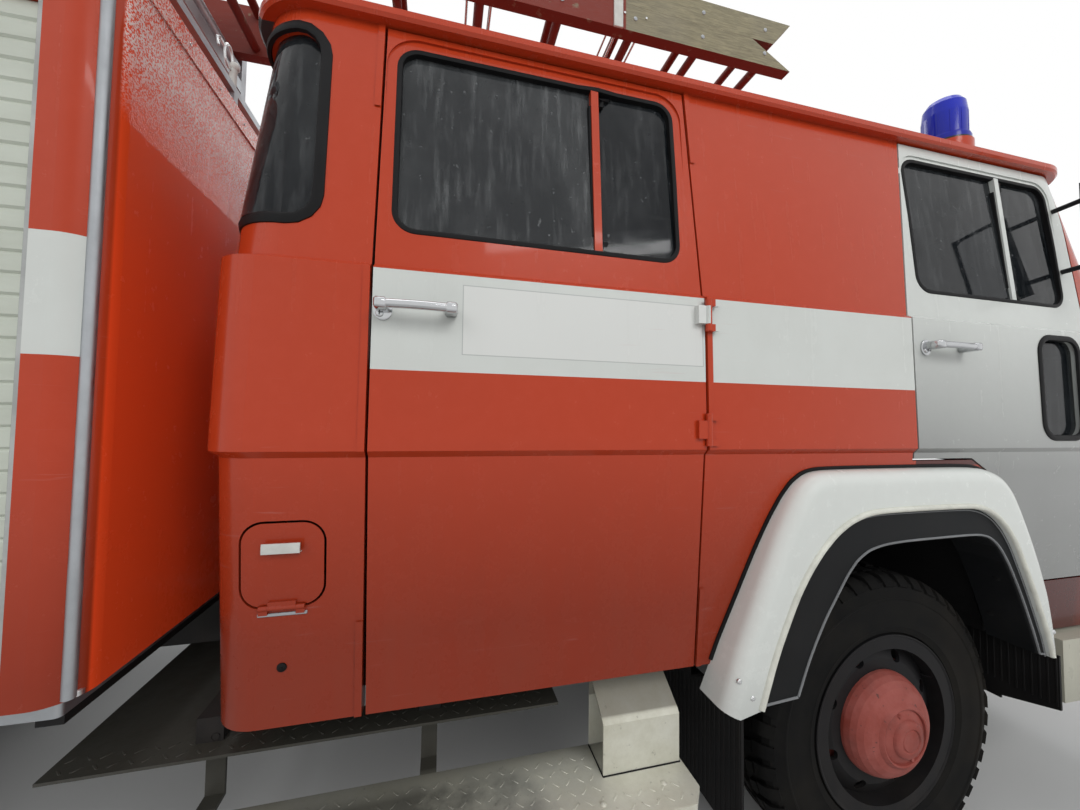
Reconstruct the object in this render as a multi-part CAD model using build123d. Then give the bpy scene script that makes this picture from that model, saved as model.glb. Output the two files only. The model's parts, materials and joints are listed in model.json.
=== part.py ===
from build123d import *
import math
import os

# Forward-control fire engine: a crew cab with four doors, a box body with roller shutters, and a ladder on the roof.
# Millimetres. X runs forward from the front axle, Y to the left, Z up from the ground. Every piece is moved by
# SHIFT_X when it is written, so that the frame's origin is under the middle of the vehicle.

# Running gear
WHEELBASE = 3700
TYRE_RADIUS = 480
TYRE_WIDTH = 225
RIM_RADIUS = 288
RIM_WALL = 9
FRONT_TYRE_Y = 1030
REAR_OUTER_TYRE_Y = 1050
TWIN_SPACING = 262
KINGPIN_Y = 880
HAND_HOLE_COUNT = 8

SEAT_GAP = 0.3

# Chassis frame
RAIL_Y = 390
RAIL_HEIGHT = 180
RAIL_FLANGE = 70
RAIL_WALL = 8
RAIL_TOP = 798
FRAME_FRONT = 1120
FRAME_REAR = -5160

# Cab, seen from the side
DOOR_GAP = 6
WALL = 40
SILL_Z = 762
CREASE_Z = 1385
BELT_Z = 1815
GUTTER_Z = 2465
CAB_HALF = 1200
REAR_DOOR_REAR_X = -1600
REAR_DOOR_FRONT_X = -715
FRONT_DOOR_REAR_X = 62
FRONT_DOOR_FRONT_X = 970
FRONT_DOOR_SILL_Z = 895
CAB_BACK_X = -1945
CAB_FACE_X = 1235
REAR_CORNER = 100
FRONT_CORNER = 140

# Box body
BODY_HALF = 1222
BODY_FRONT_X = -2100
BODY_REAR_X = -5180
BODY_TOP_Z = 2405
BODY_SILL_Z = 912
BODY_CORNER = 70
BODY_WALL = 45
COLUMN_WIDTH = 105
BUMPER_FACE_X = 1345
TAIL_X = -5290
SHIFT_X = -(BUMPER_FACE_X + TAIL_X) / 2

# Side walls of the cab by height: how far each section steps in from the widest one, on the side, the back
# and the face, and the corner radii added to the driving ones.
CAB_SECTIONS = (
    # z, side_in, back_in, face_in, rear_corner_more, front_corner_more
    (SILL_Z, 65, 20, 15, 0, 0),
    (CREASE_Z - 15, 15, 15, 10, 0, 0),
    (CREASE_Z, 0, 0, 0, 0, 0),
    (BELT_Z, 10, 5, 15, 0, 0),
    (BELT_Z + 10, 25, 22, 30, 20, 0),
    (GUTTER_Z, 80, 50, 215, 40, 20),
)


def box(x0, x1, y0, y1, z0, z1):
    """A box between two opposite corners."""
    return Pos((x0 + x1) / 2, (y0 + y1) / 2, (z0 + z1) / 2) * Box(abs(x1 - x0), abs(y1 - y0), abs(z1 - z0))


def rod(radius, start, end):
    """A round bar between two points."""
    a = Vector(*start)
    b = Vector(*end)
    plane = Plane(origin=a, z_dir=b - a)
    return Solid.extrude(Face(Wire([Edge.make_circle(radius, plane)])), b - a)


def side_prism(points, y0, y1):
    """A closed outline in X and Z, drawn through y0 to y1."""
    low, high = min(y0, y1), max(y0, y1)
    face = Face(Wire.make_polygon([Vector(x, low, z) for x, z in points], close=True))
    return Solid.extrude(face, Vector(0, high - low, 0))


def plan_prism(points, z0, z1):
    """A closed outline in X and Y, drawn through z0 to z1."""
    face = Face(Wire.make_polygon([Vector(x, y, z0) for x, y in points], close=True))
    return Solid.extrude(face, Vector(0, 0, z1 - z0))


def cross_prism(points, x0, x1):
    """A closed outline in Y and Z, drawn through x0 to x1."""
    face = Face(Wire.make_polygon([Vector(x0, y, z) for y, z in points], close=True))
    return Solid.extrude(face, Vector(x1 - x0, 0, 0))


def rounded_prism(x0, x1, z0, z1, radius, y0, y1):
    """A rectangle with round corners in X and Z, drawn through y0 to y1."""
    plane = Plane(origin=((x0 + x1) / 2, min(y0, y1), (z0 + z1) / 2), x_dir=(1, 0, 0), z_dir=(0, 1, 0))
    return extrude(plane * RectangleRounded(x1 - x0, z1 - z0, radius), abs(y1 - y0))


def mirrored(shape):
    return shape.mirror(Plane.XZ)


def both_sides(shape):
    return [shape, mirrored(shape)]


def plan_outline(z, half, back, face, rear_radius, front_radius):
    """A plan section of the cab: a rectangle with its own radii at the back and at the face."""
    k = math.sqrt(0.5)
    corners = (
        (back, half, rear_radius, 1, -1),
        (face, half, front_radius, -1, -1),
        (face, -half, front_radius, -1, 1),
        (back, -half, rear_radius, 1, 1),
    )
    arcs = []
    for x, y, r, inward_x, inward_y in corners:
        cx, cy = x + inward_x * r, y + inward_y * r
        along_y = (x, cy, z)
        middle = (cx - inward_x * r * k, cy - inward_y * r * k, z)
        along_x = (cx, y, z)
        ends = (along_y, along_x) if inward_x * inward_y < 0 else (along_x, along_y)
        arcs.append((ends[0], middle, ends[1]))
    edges = []
    for index, (start, middle, end) in enumerate(arcs):
        edges.append(Edge.make_three_point_arc(start, middle, end))
        edges.append(Edge.make_line(end, arcs[(index + 1) % 4][0]))
    return Wire(edges)


def section_at(z, a, b):
    """A cab section at height z on the straight lines through sections a and b."""
    t = (z - a[0]) / (b[0] - a[0])
    return (z,) + tuple(a[i] + (b[i] - a[i]) * t for i in range(1, 6))


def cab_block(inset, z_low=None, z_high=None):
    """The cab's outside, or its inside when inset is the wall's thickness. Its ends run on straight to z_low and
    z_high."""
    sections = [c for c in CAB_SECTIONS if not (inset > 0 and c[0] in (CREASE_Z - 15, BELT_Z + 10))]
    if z_low is not None:
        sections[0] = section_at(z_low, sections[0], sections[1])
    if z_high is not None:
        sections[-1] = section_at(z_high, sections[-2], sections[-1])
    wires = [
        plan_outline(
            z,
            CAB_HALF - side_in - inset,
            CAB_BACK_X + back_in + inset,
            CAB_FACE_X - face_in - inset,
            REAR_CORNER + rear_more - inset,
            FRONT_CORNER + front_more - inset,
        )
        for z, side_in, back_in, face_in, rear_more, front_more in sections
    ]
    return Solid.make_loft(wires, ruled=True)


# Wheel opening and fender outline, X and Z from the front axle and the ground
FENDER_OUTER = (
    (-692, 690), (-668, 755), (-642, 830), (-594, 943), (-534, 1085), (-492, 1172), (-452, 1240), (-418, 1283),
    (-378, 1310), (-330, 1320), (-195, 1322), (229, 1322), (335, 1318), (395, 1296), (440, 1250), (478, 1180),
    (520, 1090), (560, 990), (592, 895), (612, 790), (622, 700),
)
FENDER_INNER = (
    (-578, 690), (-528, 832), (-462, 970), (-418, 1038), (-372, 1093), (-325, 1136), (-275, 1167), (-215, 1188),
    (-140, 1196), (209, 1197), (272, 1186), (325, 1160), (370, 1118), (408, 1062), (445, 985), (484, 900),
    (519, 815), (548, 740), (560, 690),
)
RUBBER_INNER = (
    (-448, 700), (-412, 786), (-378, 852), (-345, 908), (-307, 962), (-270, 1015), (-234, 1054), (-190, 1080),
    (-130, 1093), (-40, 1099), (255, 1103), (308, 1092), (348, 1062), (385, 1010), (422, 940), (458, 862),
    (488, 790), (512, 726), (520, 700),
)

def grown(points, d):
    """An open line of points moved sideways by d."""
    out = []
    for i, (x, z) in enumerate(points):
        normals = []
        for j, k in ((i - 1, i), (i, i + 1)):
            if j >= 0 and k < len(points):
                dx, dz = points[k][0] - points[j][0], points[k][1] - points[j][1]
                length = math.hypot(dx, dz)
                normals.append((-dz / length, dx / length))
        nx = sum(n[0] for n in normals) / len(normals)
        nz = sum(n[1] for n in normals) / len(normals)
        scale = d / (nx * nx + nz * nz)
        out.append((x + nx * scale, z + nz * scale))
    return out


FENDER_LINE_GAP = 8
FRONT_DOOR_STEP_Z = 1350
# The fender's front half, where the door and the strip of body beside it follow the fender
fender_front = [q for q in FENDER_OUTER if q[0] > 300]


def fender_follower(d):
    """The line that runs d outside the front half of the fender, down to the front door's sill and below."""
    return grown(FENDER_OUTER, d)[-len(fender_front):]


def rear_door_outline(gap):
    return (
        (REAR_DOOR_REAR_X + gap, SILL_Z),
        (REAR_DOOR_FRONT_X - gap, SILL_Z),
        (REAR_DOOR_FRONT_X - gap, BELT_Z),
        (REAR_DOOR_FRONT_X - 27 - gap, GUTTER_Z - 2 * gap),
        (REAR_DOOR_REAR_X + 8 + gap, GUTTER_Z - 2 * gap),
        (REAR_DOOR_REAR_X + gap, BELT_Z),
    )


def front_door_outline(gap):
    line = fender_follower(FENDER_LINE_GAP + 2 * gap)
    above = [q for q in line if q[1] > FRONT_DOOR_SILL_Z]
    (xa, za), (xb, zb) = above[-1], line[len(above)]
    sill_x = xa + (xb - xa) * (FRONT_DOOR_SILL_Z - za) / (zb - za)
    return (
        (FRONT_DOOR_REAR_X + gap, FRONT_DOOR_STEP_Z),
        (line[0][0] - 10, FRONT_DOOR_STEP_Z),
        *above[1:],
        (sill_x, FRONT_DOOR_SILL_Z),
        (FRONT_DOOR_FRONT_X - gap, FRONT_DOOR_SILL_Z),
        (FRONT_DOOR_FRONT_X - gap, BELT_Z),
        (FRONT_DOOR_FRONT_X - 36 - gap, GUTTER_Z - 2 * gap),
        (FRONT_DOOR_REAR_X + 56 + gap, GUTTER_Z - 2 * gap),
        (FRONT_DOOR_REAR_X + gap, BELT_Z),
    )


def right_side(points):
    return side_prism(points, -CAB_HALF - 50, -CAB_HALF + 250)


cab_outside = cab_block(0)
cab_inside = cab_block(WALL, z_low=SILL_Z - 60, z_high=GUTTER_Z + 60)
cab_cavity = cab_block(WALL + 0.3, z_low=SILL_Z - 60, z_high=GUTTER_Z + 60)
cab_shell = cab_outside - cab_inside
VALANCE_Z = 700
valance_shell = cab_block(0, z_low=VALANCE_Z) - cab_block(WALL, z_low=VALANCE_Z - 60, z_high=GUTTER_Z + 60)

nodes = {}

# Doors and their windows
REAR_WINDOW = (-1552, -790, 1922, 2408, 45)
REAR_WINDOW_BAR_X = -1028
FRONT_WINDOW = (135, 862, 1922, 2400, 50)
FRONT_WINDOW_BAR_X = 600
KERB_WINDOW = (670, 880, 1422, 1785, 55)
REAR_SURROUND = 36
FRONT_SURROUND = 24
BAND_SKIN_Y = 1192
GLASS = 6
GLASS_INSET = 18
BAR_WIDTH = 22


def pane(window, margin=0):
    x0, x1, z0, z1, radius = window
    return rounded_prism(
        x0 - margin, x1 + margin, z0 - margin, z1 + margin, radius + margin, -CAB_HALF - 50, -CAB_HALF + 250
    )


# A thin skin inside the wall, where the panes lie
glass_skin = cab_block(GLASS_INSET, SILL_Z - 60, GUTTER_Z + 60) - cab_block(
    GLASS_INSET + GLASS, SILL_Z - 60, GUTTER_Z + 60
)


HINGE_Y = CAB_HALF + 6
HINGE_HEIGHTS = (1440, 1760)
HINGE_RADIUS = 9
HINGE_PIN = 4
HINGE_FIT = 0.05
HINGE_EYE = 25
HINGE_LUG = 20


def upright(radius, x, y, z0, z1):
    return rod(radius, (x, y, z0), (x, y, z1))


def lug_spans():
    """The heights of the lugs over and under each eye of a door."""
    near, far = HINGE_EYE + SEAT_GAP, HINGE_EYE + HINGE_LUG
    return [span for h in HINGE_HEIGHTS for span in ((h + near, h + far), (h - far, h - near))]


def hinge_on_door(x):
    """The eyes of the right door's hinges, with their leaves on the skin."""
    eyes = None
    for h in HINGE_HEIGHTS:
        eye = upright(HINGE_RADIUS, x, -HINGE_Y, h - HINGE_EYE, h + HINGE_EYE)
        eye += box(x - 34, x, -HINGE_Y - 4, -HINGE_Y + 22, h - HINGE_EYE, h + HINGE_EYE)
        eye -= upright(HINGE_PIN + HINGE_FIT, x, -HINGE_Y, h - HINGE_EYE - 1, h + HINGE_EYE + 1)
        eyes = eye if eyes is None else eyes + eye
    return eyes


def hinge_on_body(panel, x):
    """Lugs and pins on the panel ahead of a right door, with room for the door's eyes."""
    for h in HINGE_HEIGHTS:
        panel -= upright(HINGE_RADIUS + 1, x, -HINGE_Y, h - HINGE_EYE - SEAT_GAP, h + HINGE_EYE + SEAT_GAP)
        panel += upright(HINGE_PIN, x, -HINGE_Y, h - HINGE_EYE - HINGE_LUG, h + HINGE_EYE + HINGE_LUG)
    for z0, z1 in lug_spans():
        panel += upright(HINGE_RADIUS, x, -HINGE_Y, z0, z1)
        panel += box(x, x + 30, -HINGE_Y - 4, -HINGE_Y + 22, z0, z1)
    return panel


def swing_space(hinge_x, edge_x):
    """What a door hinged at hinge_x sweeps inside the circle of its outer rear edge."""
    return Pos(hinge_x, -HINGE_Y, 1600) * Cylinder(hinge_x - edge_x, 3000)


# The skin is pressed in around each window
PRESSING = 6
pressed_skin = cab_block(-1) - cab_block(PRESSING, SILL_Z - 60, GUTTER_Z + 60)

# Pull handles: a round grip between two feet, with an oval lock plate at its rear end
GRIP_OUT = 44
GRIP_RADIUS = 8
GRIP_FOOT = (24, 20)
LOCK_PLATE = (40, 46, 5)


def pull_handle(x0, x1, z, skin_y):
    """A handle from x0 to x1 on a right door, whose skin lies at skin_y."""
    y = -skin_y - GRIP_OUT
    half = GRIP_FOOT[1] / 2
    handle = rod(GRIP_RADIUS, (x0 + 6, y, z), (x1 - 6, y, z))
    for foot in (x0, x1 - GRIP_FOOT[0]):
        handle += box(foot, foot + GRIP_FOOT[0], y - GRIP_RADIUS, -skin_y + 12, z - half, z + half)
    plate = rounded_prism(
        x0 - 8, x0 - 8 + LOCK_PLATE[0], z - LOCK_PLATE[1] / 2 - 4, z + LOCK_PLATE[1] / 2 - 4, LOCK_PLATE[0] / 2 - 1,
        -skin_y - LOCK_PLATE[2], -skin_y + 10,
    )
    return handle + plate


def door_with_window(outline, window, bar_x, hinge_x, edge_x, surround, grip, extra_window=None):
    door = cab_shell & right_side(outline) & swing_space(hinge_x, edge_x)
    door -= pressed_skin & pane(window, surround)
    door -= pane(window)
    bar = box(bar_x - BAR_WIDTH / 2, bar_x + BAR_WIDTH / 2, -CAB_HALF, -CAB_HALF + 200, window[2] - 5, window[3] + 5)
    door += cab_shell & bar
    if extra_window:
        door -= pane(extra_window)
    glass = glass_skin & pane(window)
    glass -= box(bar_x - BAR_WIDTH / 2, bar_x + BAR_WIDTH / 2, -CAB_HALF, -CAB_HALF + 250, 1000, 3000)
    if extra_window:
        glass += glass_skin & pane(extra_window)
    for z0, z1 in lug_spans():
        door -= upright(HINGE_RADIUS + 1, hinge_x, -HINGE_Y, z0 - SEAT_GAP, z1 + 1)
    door += hinge_on_door(hinge_x)
    door += pull_handle(*grip)
    return door, glass


REAR_HINGE_X = REAR_DOOR_FRONT_X
FRONT_HINGE_X = FRONT_DOOR_FRONT_X
rear_door, rear_glass = door_with_window(
    rear_door_outline(DOOR_GAP / 2), REAR_WINDOW, REAR_WINDOW_BAR_X, REAR_HINGE_X, REAR_DOOR_REAR_X + DOOR_GAP / 2,
    REAR_SURROUND, (-1585, -1406, 1717, BAND_SKIN_Y),
)
front_door, front_glass = door_with_window(
    front_door_outline(DOOR_GAP / 2), FRONT_WINDOW, FRONT_WINDOW_BAR_X, FRONT_HINGE_X,
    FRONT_DOOR_REAR_X + DOOR_GAP / 2, FRONT_SURROUND, (100, 284, 1720, BAND_SKIN_Y), KERB_WINDOW,
)
nodes["door_rear_right"] = rear_door
nodes["door_rear_left"] = mirrored(rear_door)
nodes["glass_rear_right"] = rear_glass
nodes["glass_rear_left"] = mirrored(rear_glass)
nodes["door_front_right"] = front_door
nodes["door_front_left"] = mirrored(front_door)
nodes["glass_front_right"] = front_glass
nodes["glass_front_left"] = mirrored(front_glass)

# A raised bead on the body runs along each upright edge of the rear door
BEAD_WIDTH = 16
BEAD_OUT = 4
bead_skin = cab_block(-BEAD_OUT) - cab_block(1, SILL_Z - 60, GUTTER_Z + 60)


def seam_bead(edge_x, top_shift, side):
    """A bead beside the line from edge_x at the sill and belt to edge_x + top_shift at the gutter, behind it or ahead
    of it for side -1 or 1."""
    near, far = edge_x + side * DOOR_GAP / 2, edge_x + side * (DOOR_GAP / 2 + BEAD_WIDTH)
    return bead_skin & right_side(
        (
            (near, SILL_Z), (near, BELT_Z), (near + top_shift, GUTTER_Z),
            (far + top_shift, GUTTER_Z), (far, BELT_Z), (far, SILL_Z),
        )
    )


# Middle panels between the doors, open over the wheel
middle = cab_shell & right_side(
    (
        (REAR_DOOR_FRONT_X + DOOR_GAP / 2, SILL_Z),
        (FRONT_DOOR_REAR_X - DOOR_GAP / 2, SILL_Z),
        (FRONT_DOOR_REAR_X - DOOR_GAP / 2, BELT_Z),
        (FRONT_DOOR_REAR_X + 56 - DOOR_GAP / 2, GUTTER_Z),
        (REAR_DOOR_FRONT_X - 27 + DOOR_GAP / 2, GUTTER_Z),
        (REAR_DOOR_FRONT_X + DOOR_GAP / 2, BELT_Z),
    )
)
strip_line = fender_follower(FENDER_LINE_GAP)
fender_strip = right_side(
    (
        (FRONT_DOOR_REAR_X - DOOR_GAP / 2 - 20, FRONT_DOOR_STEP_Z - DOOR_GAP), (strip_line[0][0] - 10, FRONT_DOOR_STEP_Z - DOOR_GAP),
        *strip_line[1:], (strip_line[-1][0], 690), (FRONT_DOOR_REAR_X - DOOR_GAP / 2 - 20, 690),
    )
)
middle += valance_shell & fender_strip
OPENING_STEP = 25
arch_opening = grown(FENDER_INNER, OPENING_STEP)
middle -= right_side((*arch_opening, (arch_opening[-1][0], 600), (arch_opening[0][0], 600)))
middle += seam_bead(REAR_DOOR_FRONT_X, -27, 1)
middle = hinge_on_body(middle, REAR_HINGE_X)
nodes["cab_middle_panels"] = both_sides(middle)

# Corner windows and the hatch in the rear panels
CORNER_WINDOW = (-2100, -1735, 1922, 2408, 60)
HATCH = (-1858, -1682, 1035, 1231, 50)
rear_region = box(CAB_BACK_X - 50, REAR_DOOR_REAR_X - DOOR_GAP / 2, -1400, 1400, SILL_Z, BELT_Z) + side_prism(
    (
        (CAB_BACK_X - 50, BELT_Z),
        (REAR_DOOR_REAR_X - DOOR_GAP / 2, BELT_Z),
        (REAR_DOOR_REAR_X + 8 - DOOR_GAP / 2, GUTTER_Z),
        (CAB_BACK_X - 50, GUTTER_Z),
    ),
    -1400,
    1400,
)
CORNER_WINDOW_INNER_Y = 930
corner_cut = rounded_prism(-2100, -1735, 1922, 2408, 60, -1300, -CORNER_WINDOW_INNER_Y)
cab_rear = cab_shell & rear_region
for bead in both_sides(seam_bead(REAR_DOOR_REAR_X, 8, -1)):
    cab_rear += bead
hatch_hole = rounded_prism(*HATCH[:4], HATCH[4], -1400, -1000)
hatch = rounded_prism(
    HATCH[0] + 5, HATCH[1] - 5, HATCH[2] + 5, HATCH[3] - 5, HATCH[4] - 5, -1400, -1000
) & (cab_shell & rear_region)
hatch -= cab_block(12, SILL_Z - 60, GUTTER_Z + 60)
for cut in both_sides(corner_cut):
    cab_rear -= cut
cab_rear -= hatch_hole
FLAP_PIN_Y = -1162
FLAP_PIN_Z = HATCH[2] + 3
FLAP_EYE_RADIUS = 6
FLAP_PIN = 3
# The lip to pull the flap by: height over the pin, width, how far it stands out, and the skin's step from the pin
FLAP_LIP = (140, 74, 18, -3)
flap_x = (HATCH[0] + HATCH[1]) / 2


def along(radius, x0, x1):
    return rod(radius, (flap_x + x0, FLAP_PIN_Y, FLAP_PIN_Z), (flap_x + x1, FLAP_PIN_Y, FLAP_PIN_Z))


hatch += along(FLAP_EYE_RADIUS, -28, 28) + box(flap_x - 28, flap_x + 28, FLAP_PIN_Y - 3, FLAP_PIN_Y + 8, FLAP_PIN_Z + 1, FLAP_PIN_Z + 14)
for x0, x1 in ((-48, -28), (28, 48)):
    hatch -= along(FLAP_EYE_RADIUS + 1, x0, x1)
hatch -= along(FLAP_PIN + HINGE_FIT, -40, 40)
lip_z = FLAP_PIN_Z + FLAP_LIP[0]
lip_y = FLAP_PIN_Y + FLAP_LIP[3]
hatch += box(flap_x - FLAP_LIP[1] / 2, flap_x + FLAP_LIP[1] / 2, lip_y - FLAP_LIP[2], lip_y + 14, lip_z - 5, lip_z + 5)
hatch += box(
    flap_x - FLAP_LIP[1] / 2, flap_x + FLAP_LIP[1] / 2, lip_y - FLAP_LIP[2], lip_y - FLAP_LIP[2] + 4, lip_z - 14, lip_z + 5
)
cab_rear -= along(FLAP_EYE_RADIUS + 1, -28 - SEAT_GAP, 28 + SEAT_GAP)
for x0, x1 in ((-46, -28 - SEAT_GAP), (28 + SEAT_GAP, 46)):
    cab_rear += along(FLAP_EYE_RADIUS, x0, x1)
    cab_rear += box(flap_x + x0, flap_x + x1, FLAP_PIN_Y - 3, FLAP_PIN_Y + 8, FLAP_PIN_Z - 14, FLAP_PIN_Z)
cab_rear += along(FLAP_PIN, -46, 46)
cab_rear -= box(CAB_BACK_X - 10, CAB_BACK_X + 100, -RAIL_Y - 40, RAIL_Y + 40, 600, RAIL_TOP + 20)
nodes["cab_rear"] = cab_rear
nodes["hatch"] = hatch
corner_glass = glass_skin & corner_cut

# Windscreen in the face
WINDSCREEN_LOW = BELT_Z + 40
WINDSCREEN_HIGH = GUTTER_Z - 65
WINDSCREEN_HALF = 1010
face_region = side_prism(
    (
        (FRONT_DOOR_FRONT_X + DOOR_GAP / 2, SILL_Z),
        (1400, SILL_Z),
        (1400, GUTTER_Z),
        (FRONT_DOOR_FRONT_X - 36 + DOOR_GAP / 2, GUTTER_Z),
        (FRONT_DOOR_FRONT_X + DOOR_GAP / 2, BELT_Z),
    ),
    -1400,
    1400,
)
screen_plane = Plane(origin=(900, 0, (WINDSCREEN_LOW + WINDSCREEN_HIGH) / 2), x_dir=(0, 1, 0), z_dir=(1, 0, 0))
screen_cut = extrude(
    screen_plane * RectangleRounded(2 * WINDSCREEN_HALF, WINDSCREEN_HIGH - WINDSCREEN_LOW, 70), 500
)
VALANCE_REAR_X = 560
valance = valance_shell & (
    box(VALANCE_REAR_X, 1400, -1300, 1300, VALANCE_Z, SILL_Z + 1)
    + box(VALANCE_REAR_X, FRONT_DOOR_FRONT_X + 10, -1300, 1300, VALANCE_Z, FRONT_DOOR_SILL_Z - DOOR_GAP)
)
for strip in both_sides(fender_strip):
    valance -= strip
front_panel = hinge_on_body(((cab_shell & face_region) - screen_cut) + valance, FRONT_HINGE_X)
nodes["cab_front"] = mirrored(hinge_on_body(mirrored(front_panel), FRONT_HINGE_X))
nodes["cab_glass"] = [glass_skin & screen_cut] + both_sides(corner_glass)

# Roof: a gutter lip and a crowned skin
ROOF_CROWN = 95
ROOF_LIP = 30
roof_outline = dict(
    half=CAB_HALF - 80, back=CAB_BACK_X + 50, face=CAB_FACE_X - 215, rear=REAR_CORNER + 40, front=FRONT_CORNER + 20
)


def roof_wire(z, grow):
    o = roof_outline
    return plan_outline(
        z, o["half"] + grow, o["back"] - grow, o["face"] + grow, o["rear"] + grow, o["front"] + grow
    )


gutter = Solid.make_loft([roof_wire(GUTTER_Z, ROOF_LIP - 6), roof_wire(GUTTER_Z + 8, ROOF_LIP), roof_wire(GUTTER_Z + 24, ROOF_LIP)], ruled=True)
crown = Solid.make_loft(
    [
        roof_wire(GUTTER_Z + 24, 12),
        roof_wire(GUTTER_Z + 45, 4),
        roof_wire(GUTTER_Z + 65, -22),
        roof_wire(GUTTER_Z + ROOF_CROWN - 12, -70),
        roof_wire(GUTTER_Z + ROOF_CROWN, -125),
    ],
    ruled=True,
)
headroom = Solid.make_loft(
    [roof_wire(GUTTER_Z - 1, -WALL), roof_wire(GUTTER_Z + 30, -WALL - 5), roof_wire(GUTTER_Z + ROOF_CROWN - 32, -115)],
    ruled=True,
)
nodes["cab_roof"] = gutter + crown - headroom

# Floor with its wheel houses, and the engine cover between the seats
FRONT_FLOOR_Z = 945
PLATE = 40
LINER = 10
CREW_FLOOR_Z = RAIL_TOP + SEAT_GAP + PLATE
WHEEL_HOUSE_Z = max(z for x, z in FENDER_INNER) + LINER + SEAT_GAP + PLATE
TUNNEL_HALF = 430
WHEEL_HOUSE_BACK = -720
WHEEL_HOUSE_FRONT = 660
floor_profile = (
    (-2000, CREW_FLOOR_Z), (WHEEL_HOUSE_BACK, CREW_FLOOR_Z), (WHEEL_HOUSE_BACK, WHEEL_HOUSE_Z),
    (WHEEL_HOUSE_FRONT, WHEEL_HOUSE_Z), (WHEEL_HOUSE_FRONT, FRONT_FLOOR_Z), (1300, FRONT_FLOOR_Z),
    (1300, FRONT_FLOOR_Z - PLATE), (WHEEL_HOUSE_FRONT - PLATE, FRONT_FLOOR_Z - PLATE),
    (WHEEL_HOUSE_FRONT - PLATE, WHEEL_HOUSE_Z - PLATE), (WHEEL_HOUSE_BACK + PLATE, WHEEL_HOUSE_Z - PLATE),
    (WHEEL_HOUSE_BACK + PLATE, CREW_FLOOR_Z - PLATE), (-2000, CREW_FLOOR_Z - PLATE),
)
FLOOR_DOOR_GAP = 12
floor = side_prism(floor_profile, -1300, 1300) & cab_cavity
floor -= box(WHEEL_HOUSE_BACK + PLATE, 1400, -TUNNEL_HALF, TUNNEL_HALF, 600, 1400)
floor -= box(WHEEL_HOUSE_BACK - 1, 1400, -TUNNEL_HALF, TUNNEL_HALF, CREW_FLOOR_Z, 1400)
for x0, x1 in ((REAR_DOOR_REAR_X - 20, REAR_DOOR_FRONT_X + 20), (FRONT_DOOR_REAR_X - 20, FRONT_DOOR_FRONT_X + 20)):
    for s in (-1, 1):
        floor -= box(x0, x1, s * (CAB_HALF - 65 - WALL - FLOOR_DOOR_GAP), s * 1400, 600, 1400)
nodes["cab_floor"] = floor
COVER_TOP = 1400
cover = side_prism(
    (
        (WHEEL_HOUSE_BACK, CREW_FLOOR_Z), (1150, CREW_FLOOR_Z), (1150, COVER_TOP - 150), (1040, COVER_TOP),
        (WHEEL_HOUSE_BACK + 80, COVER_TOP), (WHEEL_HOUSE_BACK, COVER_TOP - 80),
    ),
    -TUNNEL_HALF,
    TUNNEL_HALF,
)
cover -= side_prism(
    (
        (WHEEL_HOUSE_BACK + 30, CREW_FLOOR_Z - 1), (1120, CREW_FLOOR_Z - 1), (1120, COVER_TOP - 165),
        (1027, COVER_TOP - 30), (WHEEL_HOUSE_BACK + 92, COVER_TOP - 30), (WHEEL_HOUSE_BACK + 30, COVER_TOP - 92),
    ),
    -TUNNEL_HALF + 30,
    TUNNEL_HALF - 30,
)
nodes["engine_cover"] = cover


# Round pieces are turned about an axle that lies along Y; profiles list radius and distance outward
def turned(profile, y_centre, x=0, z=TYRE_RADIUS, side=-1):
    points = [Vector(x + r, side * (y_centre + d), z) for r, d in profile]
    face = Face(Wire.make_polygon(points, close=True))
    return Solid.revolve(face, 360, Axis((x, 0, z), (0, 1, 0)))


BEAD_RADIUS = 254
BEAD_HALF = 96
FLANGE_EDGE = 106
tyre_profile = (
    (BEAD_RADIUS + SEAT_GAP, -BEAD_HALF + SEAT_GAP), (RIM_RADIUS + 4, -BEAD_HALF + SEAT_GAP),
    (RIM_RADIUS + 12, -TYRE_WIDTH / 2 + 6), (385, -TYRE_WIDTH / 2), (440, -TYRE_WIDTH / 2 + 8),
    (TYRE_RADIUS - 14, -TYRE_WIDTH / 2 + 18), (TYRE_RADIUS, -TYRE_WIDTH / 2 + 40),
    (TYRE_RADIUS, TYRE_WIDTH / 2 - 40), (TYRE_RADIUS - 14, TYRE_WIDTH / 2 - 18),
    (440, TYRE_WIDTH / 2 - 8), (385, TYRE_WIDTH / 2), (RIM_RADIUS + 12, TYRE_WIDTH / 2 - 6),
    (RIM_RADIUS + 4, BEAD_HALF - SEAT_GAP), (BEAD_RADIUS + SEAT_GAP, BEAD_HALF - SEAT_GAP),
)
HUB_RADIUS = 165
HUB_NECK = 118
DISC_HOLE = HUB_NECK + 0.3
DISC_PLATE = 12


def rim_profile(disc_d, dish):
    """The barrel with its flanges and the disc, whose nave lies at disc_d and whose rim end lies dish nearer the
    middle."""
    inner = BEAD_RADIUS - RIM_WALL
    weld = disc_d - dish
    return (
        (RIM_RADIUS, -FLANGE_EDGE), (RIM_RADIUS, -BEAD_HALF), (BEAD_RADIUS, -BEAD_HALF), (BEAD_RADIUS, BEAD_HALF),
        (RIM_RADIUS, BEAD_HALF), (RIM_RADIUS, FLANGE_EDGE), (inner, FLANGE_EDGE), (inner, weld + DISC_PLATE),
        (200, disc_d), (DISC_HOLE, disc_d), (DISC_HOLE, disc_d - DISC_PLATE), (200, disc_d - DISC_PLATE),
        (inner, weld), (inner, -FLANGE_EDGE),
    )


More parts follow.
